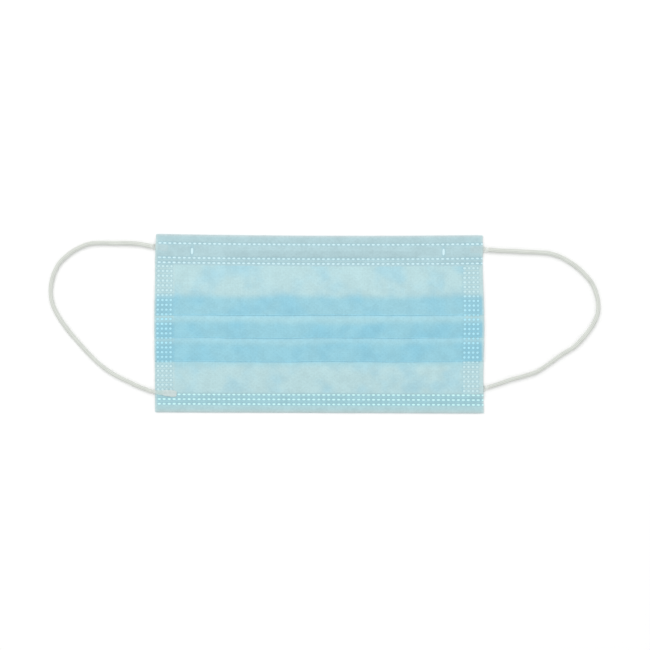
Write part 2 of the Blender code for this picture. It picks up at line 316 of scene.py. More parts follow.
print("sides of the tube:", RIBS * SIDES_PER_RIB)

# %% [markdown]
# ## The two loops
#
# The elastic rests on the surface, so its middle is its own radius above it. It is a little thinner
# towards the chin, and nowhere quite even. At the left bottom corner it comes off the front of the
# mask, and it comes down to the surface within a few millimetres.

# %% The two loops
RADIUS_AT_NOSE = 1.17 * MM
RADIUS_AT_CHIN = 1.02 * MM
FRONT_NECK_LIFT = 0.25 * MM
FRONT_NECK_RUN = 9.0 * MM


def loop_radius(share):
    """The elastic's radius at a share of its way down."""
    uneven = 0.022 * np.sin(23 * share) + 0.015 * np.sin(61 * share + 1.0)
    return (RADIUS_AT_NOSE + (RADIUS_AT_CHIN - RADIUS_AT_NOSE) * share) * (1 + uneven)


def ear_loop(name, bottom, route):
    """The round elastic of one loop, and the line that it follows."""
    flat_line, along = smooth_line(route, RING_STEP)
    share = along / along[-1]
    radius = loop_radius(share)
    lift = FRONT_NECK_LIFT if bottom.in_front else 0.0
    height = radius + lift * np.clip(1 - (along[-1] - along) / FRONT_NECK_RUN, 0, 1) ** 2
    middles = np.column_stack([flat_line, height])
    return tube(name, middles, radius, radius, along, 0 * along), middles, along


elastics = {}
for name, (_, bottom, route) in routes.items():
    elastics[name] = ear_loop(name, bottom, route)
    print(name, "triangles:", 2 * len(elastics[name][0].data.polygons))

# %% [markdown]
# ## The cloth's sizes
#
# These are the sizes of the real cloth, read from the photo at the camera's scale. The heights are
# those of three thin plies: they are pressed almost solid at the side seals, and the pleats stand
# open between them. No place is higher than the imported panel, whose wall is thicker than real cloth.

# %% Sizes of the cloth
class Pleat(NamedTuple):
    """One pleat. edge and hidden are places up the mask. The rest is colour: how deep the blue is
    above and below the hidden fold, and how pale the strip above that fold is, from 0 to 1."""

    edge: float
    hidden: float  # the fold behind it, which shows through
    blue_above: float
    blue_below: float
    paleness: float


PLEATS = (
    Pleat(4.75 * MM, 14.9 * MM, 0.0, 0.88, 0.0),
    Pleat(-7.35 * MM, 1.2 * MM, 1.0, 1.0, 1.0),
    Pleat(-19.85 * MM, -10.0 * MM, 1.0, 1.0, 0.75),
)
PLIES = 0.34 * MM
HALF_HEIGHT = 47.25 * MM
SEAL = 10.8 * MM
TOP_FLAP_Y = 31.2 * MM
BOTTOM_FLAP_Y = -36.1 * MM
GAP_AT_MIDDLE = 0.32 * MM
GAP_AT_SEAL = 0.05 * MM
WIRE_Y = 37.4 * MM
WIRE_X = 1.1 * MM
WIRE_LENGTH = 100 * MM
RIDGE_HALF_WIDTH = 2.0 * MM
RIDGE_RAMP = 1.3 * MM
SEAL_X = HALF_WIDTH - SEAL
LOWEST = PLIES / 2 + 0.02 * MM


def ease(share):
    """Rises from 0 to 1, level at both ends."""
    share = np.clip(share, 0.0, 1.0)
    return share * share * (3 - 2 * share)


def bump(offset, half_width):
    """1 where the offset is 0, and 0 from half_width on."""
    return ease(1 - np.abs(offset) / half_width)


def gap(x):
    """Air between two layers of the pleats."""
    inwards = np.clip((SEAL_X - np.abs(x)) / SEAL_X, 0.0, 1.0)
    return GAP_AT_SEAL + (GAP_AT_MIDDLE - GAP_AT_SEAL) * (1 - (1 - inwards) ** 3)


print("three layers in the middle, mm:", round((3 * PLIES + 2 * GAP_AT_MIDDLE) / MM, 2))

# %% [markdown]
# ## Weld marks
#
# Ultrasound welds the cloth through a patterned roller. It leaves rows of short dashes along the hems,
# and four columns of dots at each side. The lists hold where the rows and columns lie on the flat
# mask. The mesh gets lines of vertices at the rims of each mark, so that a mark is a real dent.

# %% Weld marks
DASH_PITCH = 2.641 * MM
FIRST_DASH_X = -84.8 * MM
DASHES = 66
DASH_HALF = (0.80 * MM, 0.45 * MM)
DASH_ROWS = tuple(y * MM for y in (42.55, 34.9, 32.3, -37.65, -40.15, -42.7))
DOT_PITCH = 2.508 * MM
DOT_HALF = (0.62 * MM, 0.55 * MM)
DOT_COLUMNS = tuple(x * MM for x in (-85.3, -83.0, -80.8, -78.5, 76.8, 79.1, 81.4, 83.7))
FIRST_DOT_Y = {-1: 30.25 * MM, 1: 29.75 * MM}  # at the left and at the right
DOTS = 27
TACKS_X = (-67.6 * MM, 66.2 * MM)
TACK_Y = 38.5 * MM
TACK_HALF = (0.60 * MM, 1.65 * MM)
RIM = 0.22 * MM
PRESSED = 0.45  # share of its height that a mark loses, and no more than this depth
DEEPEST_MARK = 0.22 * MM
CLEAR_OF_SEAL = 1.5 * MM  # nearer to a seal than this, the dots' own columns serve the dashes too
LEAST_ACROSS, LEAST_UP = 0.15 * MM, 0.12 * MM  # between two lines of vertices
UNLEVEL_DOTS = 0.1 * MM  # the two sides' rows of dots aren't quite level with each other


def pad(offset, half, rim=RIM):
    """1 on a mark, and 0 past its rim, along one direction."""
    return ease((half + rim / 2 - np.abs(offset)) / rim)


def weld_marks(x, y):
    """How deep the cloth is pressed at a place on the flat mask, from 0 to 1."""
    number = np.clip(np.round((x - FIRST_DASH_X) / DASH_PITCH), 0, DASHES - 1)
    along = pad(x - FIRST_DASH_X - number * DASH_PITCH, DASH_HALF[0])
    pressed = np.zeros_like(x)
    for row in DASH_ROWS:
        pressed = np.maximum(pressed, along * pad(y - row, DASH_HALF[1]))
    for column in DOT_COLUMNS:
        first = FIRST_DOT_Y[1 if column > 0 else -1]
        number = np.clip(np.round((first - y) / DOT_PITCH), 0, DOTS - 1)
        across = pad(y - first + number * DOT_PITCH, DOT_HALF[1])
        pressed = np.maximum(pressed, across * pad(x - column, DOT_HALF[0]))
    for tack in TACKS_X:
        pressed = np.maximum(pressed, pad(x - tack, TACK_HALF[0]) * pad(y - TACK_Y, TACK_HALF[1]))
    return pressed


def around(centre, half, rim=RIM):
    """Four lines about a mark: two outside its rim and two inside."""
    outer, inner = half + rim / 2, half - rim / 2
    return [centre - outer, centre - inner, centre + inner, centre + outer]


def thinned(values, least):
    """Sorted values without those closer than least to the one before."""
    kept = []
    for value in sorted(values):
        if not kept or value - kept[-1] >= least:
            kept.append(value)
    return kept


def columns():
    """Where the cloth has vertices across its width."""
    lines = [-HALF_WIDTH, HALF_WIDTH, -SEAL_X, SEAL_X]
    for column in DOT_COLUMNS:
        lines += around(column, DOT_HALF[0])
    for number in range(DASHES):
        middle = FIRST_DASH_X + number * DASH_PITCH
        if abs(middle) < SEAL_X - CLEAR_OF_SEAL:
            lines += around(middle, DASH_HALF[0])
    return np.array(thinned(lines, LEAST_ACROSS))


cloth_x = columns()
print("columns of vertices:", len(cloth_x))

# %% [markdown]
# ## Folding the cloth
#
# The sheet is folded in a side view, one row of vertices after the other, from the end of the flap
# behind the nose edge to the end of the flap behind the chin edge. A run goes flat or climbs, and a
# bend turns the cloth back over itself. Every row holds one value for each column, so the pleats can
# open in the middle of the mask and close at its seals. Each row also notes how many layers lie under
# it, because the cloth is thin enough for that to show as colour. It notes too how near it is to a
# pleat's edge, where a paler colour is painted against the shade that falls there, and where the
# lamp's light falls on the strip below, which is painted brighter.

# %% Folding
SOFT_EDGE = 2.4 * MM
HIDDEN_STEPS = 5
BEND_STEPS = 8
PLAIN_STEP = 1.0 * MM


class Folding:
    """Rows of the sheet's middle surface. y and z hold a value for each column."""

    def __init__(self, x, y, z):
        self.x = x
        self.y = [np.full_like(x, y)]
        self.z = [np.full_like(x, z)]
        self.notes = [{}]

    def row(self, y, z, **notes):
        self.y.append(y + 0 * self.x)
        self.z.append(z + 0 * self.x)
        self.notes.append(notes)

    def run(self, y, z, steps, lift=None, **notes):
        """Goes to y and z. steps are shares of the way, or their number. lift adds height."""
        y0, z0 = self.y[-1], self.z[-1]
        if isinstance(steps, int):
            steps = [(k + 1) / steps for k in range(steps)]
        for share in steps:
            here = y0 + (y - y0) * share
            height = z0 + (z - z0) * ease(share)
            if lift is not None:
                height = height + lift(here)
            self.row(here, height, **{name: note(here) for name, note in notes.items()})

    def bend(self, z, towards, **notes):
        """Turns back at height z. The bend points to +y if towards is 1, and to -y if it is -1."""
        y0, z0 = self.y[-1], self.z[-1]
        radius = np.abs(z - z0) / 2
        for step in range(1, BEND_STEPS + 1):
            angle = math.pi * step / BEND_STEPS
            here = y0 + towards * radius * math.sin(angle)
            height = (z0 + z) / 2 - (z - z0) / 2 * math.cos(angle)
            self.row(here, height, **{name: note(angle) for name, note in notes.items()})

    def as_arrays(self):
        """y, z, and each note as an array with a row for each row of vertices."""
        names = sorted({name for note in self.notes for name in note})
        zero = 0 * self.x
        notes = {name: np.array([zero + note.get(name, 0.0) for note in self.notes]) for name in names}
        return np.array(self.y), np.array(self.z), notes


def mark_lines():
    """Places up the mask where its marks have their rims."""
    lines = []
    for row in DASH_ROWS:
        lines += around(row, DASH_HALF[1])
    lines += around(WIRE_Y, RIDGE_HALF_WIDTH, RIDGE_RAMP)
    for number in range(DOTS):
        middle = (FIRST_DOT_Y[-1] + FIRST_DOT_Y[1]) / 2 - number * DOT_PITCH
        lines += around(middle, DOT_HALF[1] + UNLEVEL_DOTS)
    return lines


def shares(start, end, lines):
    """Shares of the way from start to end: where it crosses these lines, and evenly between them."""
    span = end - start
    least = LEAST_UP / abs(span)
    crossed = [(line - start) / span for line in lines]
    stops = thinned([0.0] + [share for share in crossed if 0 < share < 1 - least], least) + [1.0]
    made = []
    for a, b in zip(stops, stops[1:]):
        parts = max(1, round((b - a) * abs(span) / PLAIN_STEP))
        made += [a + (b - a) * (k + 1) / parts for k in range(parts)]
    return made


print("lines across the mask for its marks:", len(mark_lines()))

# %% [markdown]
# ## The sheet's path
#
# The nose hem comes first, with the ridge of the wire between its weld rows. Then the upper panel
# climbs to the first pleat. A pleat goes down to its edge, back up under itself and down again. The
# hidden fold of each pleat shows through as a soft change of colour.

# %% The sheet's path
WIRE_RIDGE = 0.55 * MM
HEM_PUFF = 0.16 * MM
HEM_PUFFS = ((33.6 * MM, 1.0 * MM), (40.6 * MM, 1.5 * MM), (45.2 * MM, 1.4 * MM))  # middle, reach
HEM_PUFF_AT_SEAL = 0.4  # share of it that is left in the seals
CHIN_PUFF_FROM = -42.9 * MM
HEM_AIR = 0.04 * MM
RIDGE_PAST_WIRE = 1 * MM
SOFT_RAMP = 2 * MM
PLEAT_PUFF = 0.22 * MM
PANEL_PUFF = 0.35 * MM
LAST_STRIP_REACH = 4.2 * MM
# Painted light: the reach of the brighter colour painted on a strip where the lamp falls.
LIT_REACH = 2.6 * MM  # of the light that falls on a strip from the pleat's edge
NOSE_RIM = 1.6 * MM  # how far the greyer rim of each long edge reaches in
CHIN_RIM = 2.3 * MM
# Reach of the paler colour painted along a pleat's edge, against the shade that falls there.
CREASE_REACH = 0.4 * MM
LIP_RISE = 0.1 * MM  # of the lowest layer, where it comes out under a pleat's edge
LIP_BLUE = 0.6
LIP_STEPS = 3
EMERGES = 0.85  # height of the lowest layer where it comes out from a pleat, as a share of the next
HIDDEN_SAG = 0.5 * MM  # a hidden fold lies this much lower in the middle of the mask
HIDDEN_DRIFT = (
    # waves in a metre, phase, height
    (9.0, 2.1, 0.45 * MM),
    (24.0, 4.0, 0.35 * MM),
    (51.0, 1.3, 0.20 * MM),
)


def hem_lift(x):
    """Height that the nose hem gains over the wire and between its weld rows."""
    def lift(y):
        over_wire = pad(x - WIRE_X, WIRE_LENGTH / 2 + RIDGE_PAST_WIRE, SOFT_RAMP)
        over_wire = over_wire * pad(y - WIRE_Y, RIDGE_HALF_WIDTH, RIDGE_RAMP)
        between = sum(bump(y - middle, reach) for middle, reach in HEM_PUFFS)
        puff = HEM_PUFF_AT_SEAL + (1 - HEM_PUFF_AT_SEAL) * pad(x, SEAL_X, SOFT_RAMP)
        return over_wire * WIRE_RIDGE + between * HEM_PUFF * puff
    return lift


def panel_lift(x, top, bottom, height):
    """A shallow crown between two places up the mask, flat at the seals."""
    open_cloth = 1 - (np.clip(np.abs(x) / SEAL_X, 0, 1)) ** 4
    return lambda y: height * open_cloth * np.sin(np.pi * np.clip((top - y) / (top - bottom), 0, 1))


def softly(hidden, above, below):
    """A note that goes from one value above a hidden fold to another below it."""
    return lambda y: above + (below - above) * ease((hidden + SOFT_EDGE - y) / (2 * SOFT_EDGE))


def wandered(x, hidden, number):
    """Where a hidden fold lies: level at the seals, and not quite straight between them."""
    free = 1 - (np.clip(np.abs(x) / SEAL_X, 0, 1)) ** 2
    drift = sum(height * np.sin(2 * np.pi * waves * x + phase * (number + 1))
                for waves, phase, height in HIDDEN_DRIFT)
    return hidden + free * (drift - HIDDEN_SAG)


def near(place, reach):
    """1 at a place up the mask, and 0 from reach on."""
    return lambda y: bump(y - place, reach)


def all_of(y):
    """For a note that holds over a whole run."""
    return 1.0 + 0 * y


def fold_cloth(x):
    """The whole sheet, folded."""
    spacing = PLIES + gap(x)
    levels = [LOWEST + layer * spacing for layer in range(3)]
    hem = LOWEST + PLIES + HEM_AIR
    turn = (hem - LOWEST) / 2 + PLIES / 2
    lines = mark_lines()
    made = Folding(x, TOP_FLAP_Y, LOWEST)

    top = HALF_HEIGHT - turn
    made.run(top, LOWEST, shares(TOP_FLAP_Y, top, lines), hem=all_of)
    made.bend(hem, 1, hem=all_of, rim=lambda angle: math.sin(angle / 2) ** 2)
    made.run(TOP_FLAP_Y, hem, shares(top, TOP_FLAP_Y, lines), hem_lift(x), hem=all_of,
             rim=near(HALF_HEIGHT, NOSE_RIM))

    puff = PANEL_PUFF
    for number, pleat in enumerate(PLEATS):
        hidden = wandered(x, pleat.hidden, number)
        above = made.y[-1][0]
        under = softly(hidden, pleat.blue_above, pleat.blue_below)
        strip = softly(hidden, pleat.paleness, 0.0)
        made.run(hidden, levels[2], shares(above, pleat.hidden, lines),
                 panel_lift(x, above, hidden, puff), cover=under, strip=strip,
                 lit=near(above, LIT_REACH))
        steps = shares(pleat.hidden, pleat.edge, lines)
        add_pleat(made, pleat.edge, hidden, steps, levels, under, strip)
        puff = 0.0

    above = made.y[-1][0]
    made.run(BOTTOM_FLAP_Y, hem, shares(above, BOTTOM_FLAP_Y, lines),
             panel_lift(x, above, BOTTOM_FLAP_Y, PANEL_PUFF), strip=near(above, LAST_STRIP_REACH),
             lit=near(above, LIT_REACH / 2))
    chin = turn - HALF_HEIGHT
    made.run(chin, hem, shares(BOTTOM_FLAP_Y, chin, lines),
             panel_lift(x, CHIN_PUFF_FROM, chin, HEM_PUFF),
             chin=all_of, rim=near(-HALF_HEIGHT, CHIN_RIM))
    made.bend(LOWEST, -1, chin=all_of, rim=lambda angle: math.cos(angle / 2) ** 2)
    made.run(BOTTOM_FLAP_Y, LOWEST, shares(chin, BOTTOM_FLAP_Y, lines), chin=all_of)
    return made


def add_pleat(made, edge, hidden, steps, levels, under, strip):
    """One pleat, from its hidden fold down to its edge, back up and down again."""
    low, middle, high = levels
    half = (high - middle) / 2
    crown = panel_lift(made.x, hidden, edge, PLEAT_PUFF)
    # The crease note marks where a paler colour is painted against the shade at the pleat's edge.
    made.run(edge + half, high, steps, crown, cover=under, strip=strip,
             crease=near(edge, CREASE_REACH))
    made.bend(middle, -1, cover=all_of, crease=all_of)
    made.run(hidden - half, middle, HIDDEN_STEPS, cover=all_of)
    made.bend(low, 1, cover=all_of)
    emerging = low + (middle - low) * EMERGES
    made.run(edge + half, emerging, HIDDEN_STEPS, cover=all_of)
    made.run(edge - half, emerging + LIP_RISE, LIP_STEPS, cover=lambda y: LIP_BLUE, strip=all_of,
             lit=all_of)


folded = fold_cloth(cloth_x)
print("rows of vertices:", len(folded.y))

# %% [markdown]
# ## From the exact sheet to a real one
#
# The flat, folded sheet is exact, and the real one isn't: its sides bulge where the pleats push them
# out, the nose edge dips in the middle, the seals lean, the layers ripple, and the middle stands up a
# little. Heights are scaled, or raised by the same amount in all layers, so the layers can't pass
# through each other, and a mark is never pressed through the layer below.

# %% The shape of the mask
NOSE_FROM, NOSE_RUN = 8 * MM, 22 * MM  # where the nose edge's shape sets in, and over what run
CHIN_FROM, CHIN_RUN = 15 * MM, 30 * MM  # the same for the chin edge, downwards
NOSE_DIP = 0.65 * MM
NOSE_TURN = 0.33 * MM  # the left corner stands this much further up the mask, and the right one less
NOSE_HEM_DOWN = 0.40 * MM
CHIN_TURN = 0.32 * MM  # the same at the chin edge
CHIN_HEM_ALONG = -0.27 * MM
CHIN_HEM_DOWN = 0.05 * MM
EDGES_OUT = (
    # up the mask, then how far the left and the right edge stand out, in millimetres
    (-47.0, 0.00, 0.65),
    (-27.0, 0.38, 0.25),
    (-14.0, 0.64, 0.35),
    (-3.5, 0.73, 0.60),
    (7.0, 0.72, 0.51),
    (23.0, 0.42, -0.05),
    (31.0, 0.40, -0.20),
    (47.0, -0.25, -0.15),
)
RIPPLES = (
    # waves along X and Y per metre, phase, share of the height
    (18.0, 21.0, 0.4, 0.060),
    (31.0, -14.0, 1.9, 0.045),
    (-47.0, 33.0, 3.1, 0.030),
    (74.0, 26.0, 0.9, 0.022),
    (9.0, 62.0, 5.0, 0.030),
)
SEAL_LEANS = ((-81.9 * MM, 0.30 * MM), (80.25 * MM, 0.72 * MM))  # its middle, and its upper end's lean
SEAL_BAND, SEAL_BAND_RAMP = 4.5 * MM, 3.5 * MM  # half the width that leans, and its soft rim
LEAN_FROM, LEAN_RUN = -8 * MM, 40 * MM  # up the mask
LEAN_ENDS, LEAN_END_RUN = 31.9 * MM, 1.1 * MM  # below the nose hem, which doesn't lean
EDGE_WAVES = (
    # waves in a metre, phase, height
    (14.0, 0.7, 0.16 * MM),
    (33.0, 2.2, 0.08 * MM),
    (61.0, 4.0, 0.04 * MM),
)
WAVES_Y, WAVES_REACH = -8 * MM, 30 * MM  # up the mask, where the pleats' edges wave
RIPPLE_AT_SEAL = 0.25  # share of the ripple that is left where the cloth is welded
RIPPLE_FROM, RIPPLE_RUN = SEAL_X + 1 * MM, 8 * MM  # it grows inwards from there, over this run
PUFF = 2.1 * MM  # height of the middle of the mask, which the packing never presses quite flat
PUFF_X, PUFF_RUN_X = SEAL_X, 26 * MM  # where it begins at the sides, and over what run it rises
PUFF_Y, PUFF_RUN_Y = HALF_HEIGHT - 3 * MM, 24 * MM  # the same at the long edges
TENT = 0.60 * MM
TENT_HALF_WIDTH = 2.3 * MM
TENT_RAMP = 2.4 * MM


def waves(x, y):
    """A gentle ripple over the mask, about 0."""
    total = 0.0
    for along, across, phase, share in RIPPLES:
        total = total + share * np.sin(2 * np.pi * (along * x + across * y) + phase)
    return total


def tent(x, y):
    """How far the cloth is raised over the flat ends of the elastic behind it."""
    height = 0 * x
    for end in LOOP_ENDS:
        if end.in_front:
            continue
        middle = end.y - math.tan(math.radians(end.tilt)) * end.length / 2
        along = ease((x * end.side - SEAL_X) / (HALF_WIDTH - end.length - SEAL_X))
        across = ease(1 - (np.abs(y - middle) - TENT_HALF_WIDTH) / TENT_RAMP)
        height = np.maximum(height, TENT * along * across)
    return height


def puffed(x, y):
    """How far the whole cloth stands up off the surface in the middle of the mask."""
    from_side = ease((PUFF_X - np.abs(x)) / PUFF_RUN_X)
    from_edge = ease((PUFF_Y - np.abs(y)) / PUFF_RUN_Y)
    return PUFF * from_side * from_edge * (1 + waves(x, y))


def edge_out(y, number):
    """How far a side edge stands out at a height up the mask. number picks it from the table."""
    return np.interp(y / MM, [row[0] for row in EDGES_OUT], [row[number] for row in EDGES_OUT]) * MM


def settle(x, y, z):
    """The flat, folded place of a vertex, moved to where it lies on the real mask."""
    marks = weld_marks(x, y)
    inside_seal = ease((RIPPLE_FROM - np.abs(x)) / RIPPLE_RUN)
    open_cloth = RIPPLE_AT_SEAL + (1 - RIPPLE_AT_SEAL) * inside_seal
    z = z * (1 + waves(x, y) * open_cloth)
    z = z - marks * np.minimum(PRESSED * z, DEEPEST_MARK) + tent(x, y) + puffed(x, y)
    share = (x / HALF_WIDTH + 1) / 2
    up = ease((y - NOSE_FROM) / NOSE_RUN)
    down = ease((-y - CHIN_FROM) / CHIN_RUN)
    x_settled = x - edge_out(y, 1) * (1 - share) + edge_out(y, 2) * share + down * CHIN_HEM_ALONG
    leaning = ease((y - LEAN_FROM) / LEAN_RUN) * ease((LEAN_ENDS - y) / LEAN_END_RUN)
    for middle, lean in SEAL_LEANS:
        x_settled = x_settled + lean * leaning * pad(x - middle, SEAL_BAND, SEAL_BAND_RAMP)
    dip = NOSE_DIP * (x / HALF_WIDTH) ** 2 - NOSE_TURN * x / HALF_WIDTH - NOSE_HEM_DOWN
    y_settled = y + up * dip - down * (CHIN_HEM_DOWN + CHIN_TURN * x / HALF_WIDTH)
    for along, phase, height in EDGE_WAVES:
        wave = height * np.sin(2 * np.pi * along * x + phase)
        y_settled = y_settled + wave * bump(y - WAVES_Y, WAVES_REACH)
    return x_settled, y_settled, z


print("height of the open middle, mm:", round(puffed(0.0, 0.0) / MM, 2))

# %% [markdown]
# ## Two plies
#
# The outer and the inner ply are the middle surface of the sheet, moved half the cloth's thickness
# either way, and they meet at the cut edges. Each vertex also keeps its place on the flat mask, which
# the materials draw the fibres and the welds from.

# %% Two plies
CUT_EDGE = 0.15  # share of the cloth's thickness that is left at a cut edge
CUT_ROWS = 3  # rows, and run from the side, in which it thins out
CUT_RUN = 0.5 * MM


def grid_faces(rows, across, upwards):
    """The faces between rows of vertices. They face up where upwards is true."""
    corner = (np.arange(rows - 1)[:, None] * across + np.arange(across - 1)).ravel()
    quads = np.stack([corner, corner + 1, corner + across + 1, corner + across], axis=1)
    return (quads[:, ::-1] if upwards else quads).tolist()


def ply(name, folding, side):
    """The outer ply if side is 1, or the inner one if side is -1, as a mesh object."""
    y, z, notes = folding.as_arrays()
    x = np.broadcast_to(folding.x, y.shape)
    along_y, along_z = np.gradient(y, axis=0), np.gradient(z, axis=0)
    length = np.hypot(along_y, along_z)
    ends = np.minimum(np.arange(len(y)), np.arange(len(y))[::-1])[:, None] / CUT_ROWS
    to_edge = np.minimum(ends, (HALF_WIDTH - np.abs(x)) / CUT_RUN)
    half = PLIES / 2 * (CUT_EDGE + (1 - CUT_EDGE) * ease(to_edge))
    outer_y = y + side * half * along_z / length
    outer_z = z - side * half * along_y / length
    places = np.stack(settle(x, outer_y, outer_z), axis=-1).reshape(-1, 3)
    mesh = bpy.data.meshes.new(name)
    mesh.from_pydata(places.tolist(), [], grid_faces(*y.shape, upwards=side > 0))
    mesh.shade_smooth()
    flat = mesh.attributes.new("flat", "FLOAT_VECTOR", "POINT")
    flat.data.foreach_set("vector", np.stack([x, outer_y, 0 * x], axis=-1).ravel() / MM)
    for note, values in notes.items():
        note_on(mesh, note, values)
    return placed(name, mesh)


outer = ply("outer_ply", folded, 1)
inner = ply("inner_ply", folded, -1)
print("triangles in each ply:", 2 * len(outer.data.polygons))

# %% [markdown]
# ## What the sheet is
#
# Both plies are faces of one sheet. It is held folded by its welds, and it rests on the floor. Unfolded
# it is as wide as the mask, and as long as the way over its hems and pleats.

# %% Places of the plies
for piece in (outer, inner):
    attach(piece, BODY)
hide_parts("pleated_panel")

# %% [markdown]
# ## The welded ends of the loops
#
# The press that seals the mask's sides also melts the ends of the elastic onto the cloth. The knit
# turns into a flat, dull, plastic tab with the same marks as the cloth around it. Three tabs lie behind
# the cloth and one in front of it. Each piece runs from its rounded tip to a round neck, which goes a
# little way into its loop.

# %% Welded ends
TAB_HALF_WIDTH = 1.75 * MM
TAB_HALF_THICKNESS = 0.15 * MM
TAB_LOWEST = 0.02 * MM
TIP_ROUNDING = 1.1 * MM
NECK_START = 0.4 * MM
INTO_LOOP = 0.5 * MM
TAB_STEP = 0.12 * MM
NECK_SHARE = 0.97  # of the loop's radius, so that the neck's end hides inside the loop
KNIT_START = 20 * MM  # where the knit's pattern starts, so that it doesn't match the loop's
TAB_DENT = 0.05 * MM
PLASTIC_FADES = 0.9 * MM  # outside the mask's edge, where the yarn is whole again
CLEAR_FROM = 5.0 * MM  # inside the edge, from where the melt is so thin that the cloth shows
FRONT_TAB_HEIGHT = 0.92 * MM  # of its middle, on the hem at the left bottom corner
FRONT_SPREAD = 7.5 * MM  # run inside the edge over which the front tab reaches its full width
TIP_NARROWS = 0.8  # of the rounding, which the tip loses at each side
TIP_THICKNESS = 0.55  # share of the tab's thickness that is left at its very tip
TAB_WOBBLES = ((1900, 0.05), (4300, 0.03))  # radians in a metre, and share of the width


def end_section(end, radius, along, round_again):
    """Half the width and half the thickness of an end, from its tip to its neck."""
    rounded = np.sqrt(1 - np.clip(1 - (along + end.length) / TIP_ROUNDING, 0, 1) ** 2)
    (slow, slow_share), (quick, quick_share) = TAB_WOBBLES
    uneven = 1 + slow_share * np.sin(along * slow + end.side) + quick_share * np.sin(along * quick)
    half_wide = TAB_HALF_WIDTH * uneven - TIP_ROUNDING * TIP_NARROWS * (1 - rounded)
    half_thick = TAB_HALF_THICKNESS * (TIP_THICKNESS + (1 - TIP_THICKNESS) * rounded)
    narrowed = ease((along + FRONT_SPREAD) / FRONT_SPREAD) if end.in_front else round_again
    half_wide = half_wide + (radius * NECK_SHARE - half_wide) * narrowed
    half_thick = half_thick + (radius * NECK_SHARE - half_thick) * round_again
    return half_wide, half_thick


def end_line(end, radius, along, round_again):
    """The line along the middle of an end."""
    flat_height = FRONT_TAB_HEIGHT if end.in_front else TAB_LOWEST + TAB_HALF_THICKNESS
    neck_height = radius + (FRONT_NECK_LIFT if end.in_front else 0.0)
    height = flat_height + (neck_height - flat_height) * round_again
    inside, outside = np.minimum(along, 0.0), np.maximum(along, 0.0)
    line = np.array([end.side * HALF_WIDTH, end.y]) + outside[:, None] * outward(end)
    line = line + inside[:, None] * outward(end, end.inner_tilt)
    return np.column_stack([line, height])


def welded_end(end, radius):
    """One flattened end with its neck. Notes tell its material how far it is melted, where the melt is
    so thin that it is clear, and where light is painted on the neck against the mask edge's shade."""
    along = np.arange(-end.length, NECK_LENGTH + INTO_LOOP, TAB_STEP)
    round_again = ease((along - NECK_START) / (NECK_LENGTH - NECK_START))
    middles = end_line(end, radius, along, round_again)
    half_wide, half_thick = end_section(end, radius, along, round_again)
    made = tube(end.name, middles, half_wide, half_thick, along + KNIT_START, 1 - round_again,
                lambda x, y: TAB_DENT * weld_marks(x, y))
    # The last note is painted light on the neck of an end behind the mask, where the mask's edge shades
    # it.
    notes = {
        "melted": ease(1 - along / PLASTIC_FADES),
        "clear": ease((along + CLEAR_FROM) / (CLEAR_FROM / 2)) * ease(-along / PLASTIC_FADES),
        "neck_painted_light": bump(along - NECK_LENGTH / 2, NECK_LENGTH) * (not end.in_front),
    }
    for note, values in notes.items():
        note_on(made.data, note, np.repeat(values, RIBS * SIDES_PER_RIB))
    return made


print("thickness of a flattened end, mm:", round(2 * TAB_HALF_THICKNESS / MM, 2))

# %% [markdown]
# ## What the loops are
#
# Each loop is a limp cord that lies loose, with both of its ends in the mask. The tube and both ends
# are attached to the mask's body, and their solids are hidden.

# %% Loops with their ends
for name, (top, bottom, _) in routes.items():
    elastic, middles, along = elastics[name]
    ends = [welded_end(top, loop_radius(0.0)), welded_end(bottom, loop_radius(1.0))]
    solids = [top.solid, bottom.solid, name.replace("elastic", "ear_loop")]
    for piece, solid in zip([*ends, elastic], solids):
        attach(piece, BODY)
        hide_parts(solid)
    print(name, "with", [piece.name for piece in ends])

# %% [markdown]
# ## Nodes, and colours as the photo shows them
#
# A colour is written as it reads in the photo, from 0 to 255, and turned into the linear value that a
# shader wants. The lights make a level sheet a little brighter than its own colour, so every colour
# is divided by that measured brightness. A small helper keeps each shader short: it makes a node,
# sets or links its inputs, and returns the output.

# %% Nodes and colours
LIGHT_ON_A_LEVEL_SHEET = 1.12


def seen(red, green, blue):
    """The base colour that shows as this colour of the photo under the scene's light."""
    linear = []
    for value in (red / 255, green / 255, blue / 255):
        value = value / 12.92 if value <= 0.04045 else ((value + 0.055) / 1.055) ** 2.4
        linear.append(value / LIGHT_ON_A_LEVEL_SHEET)
    return (*linear, 1.0)


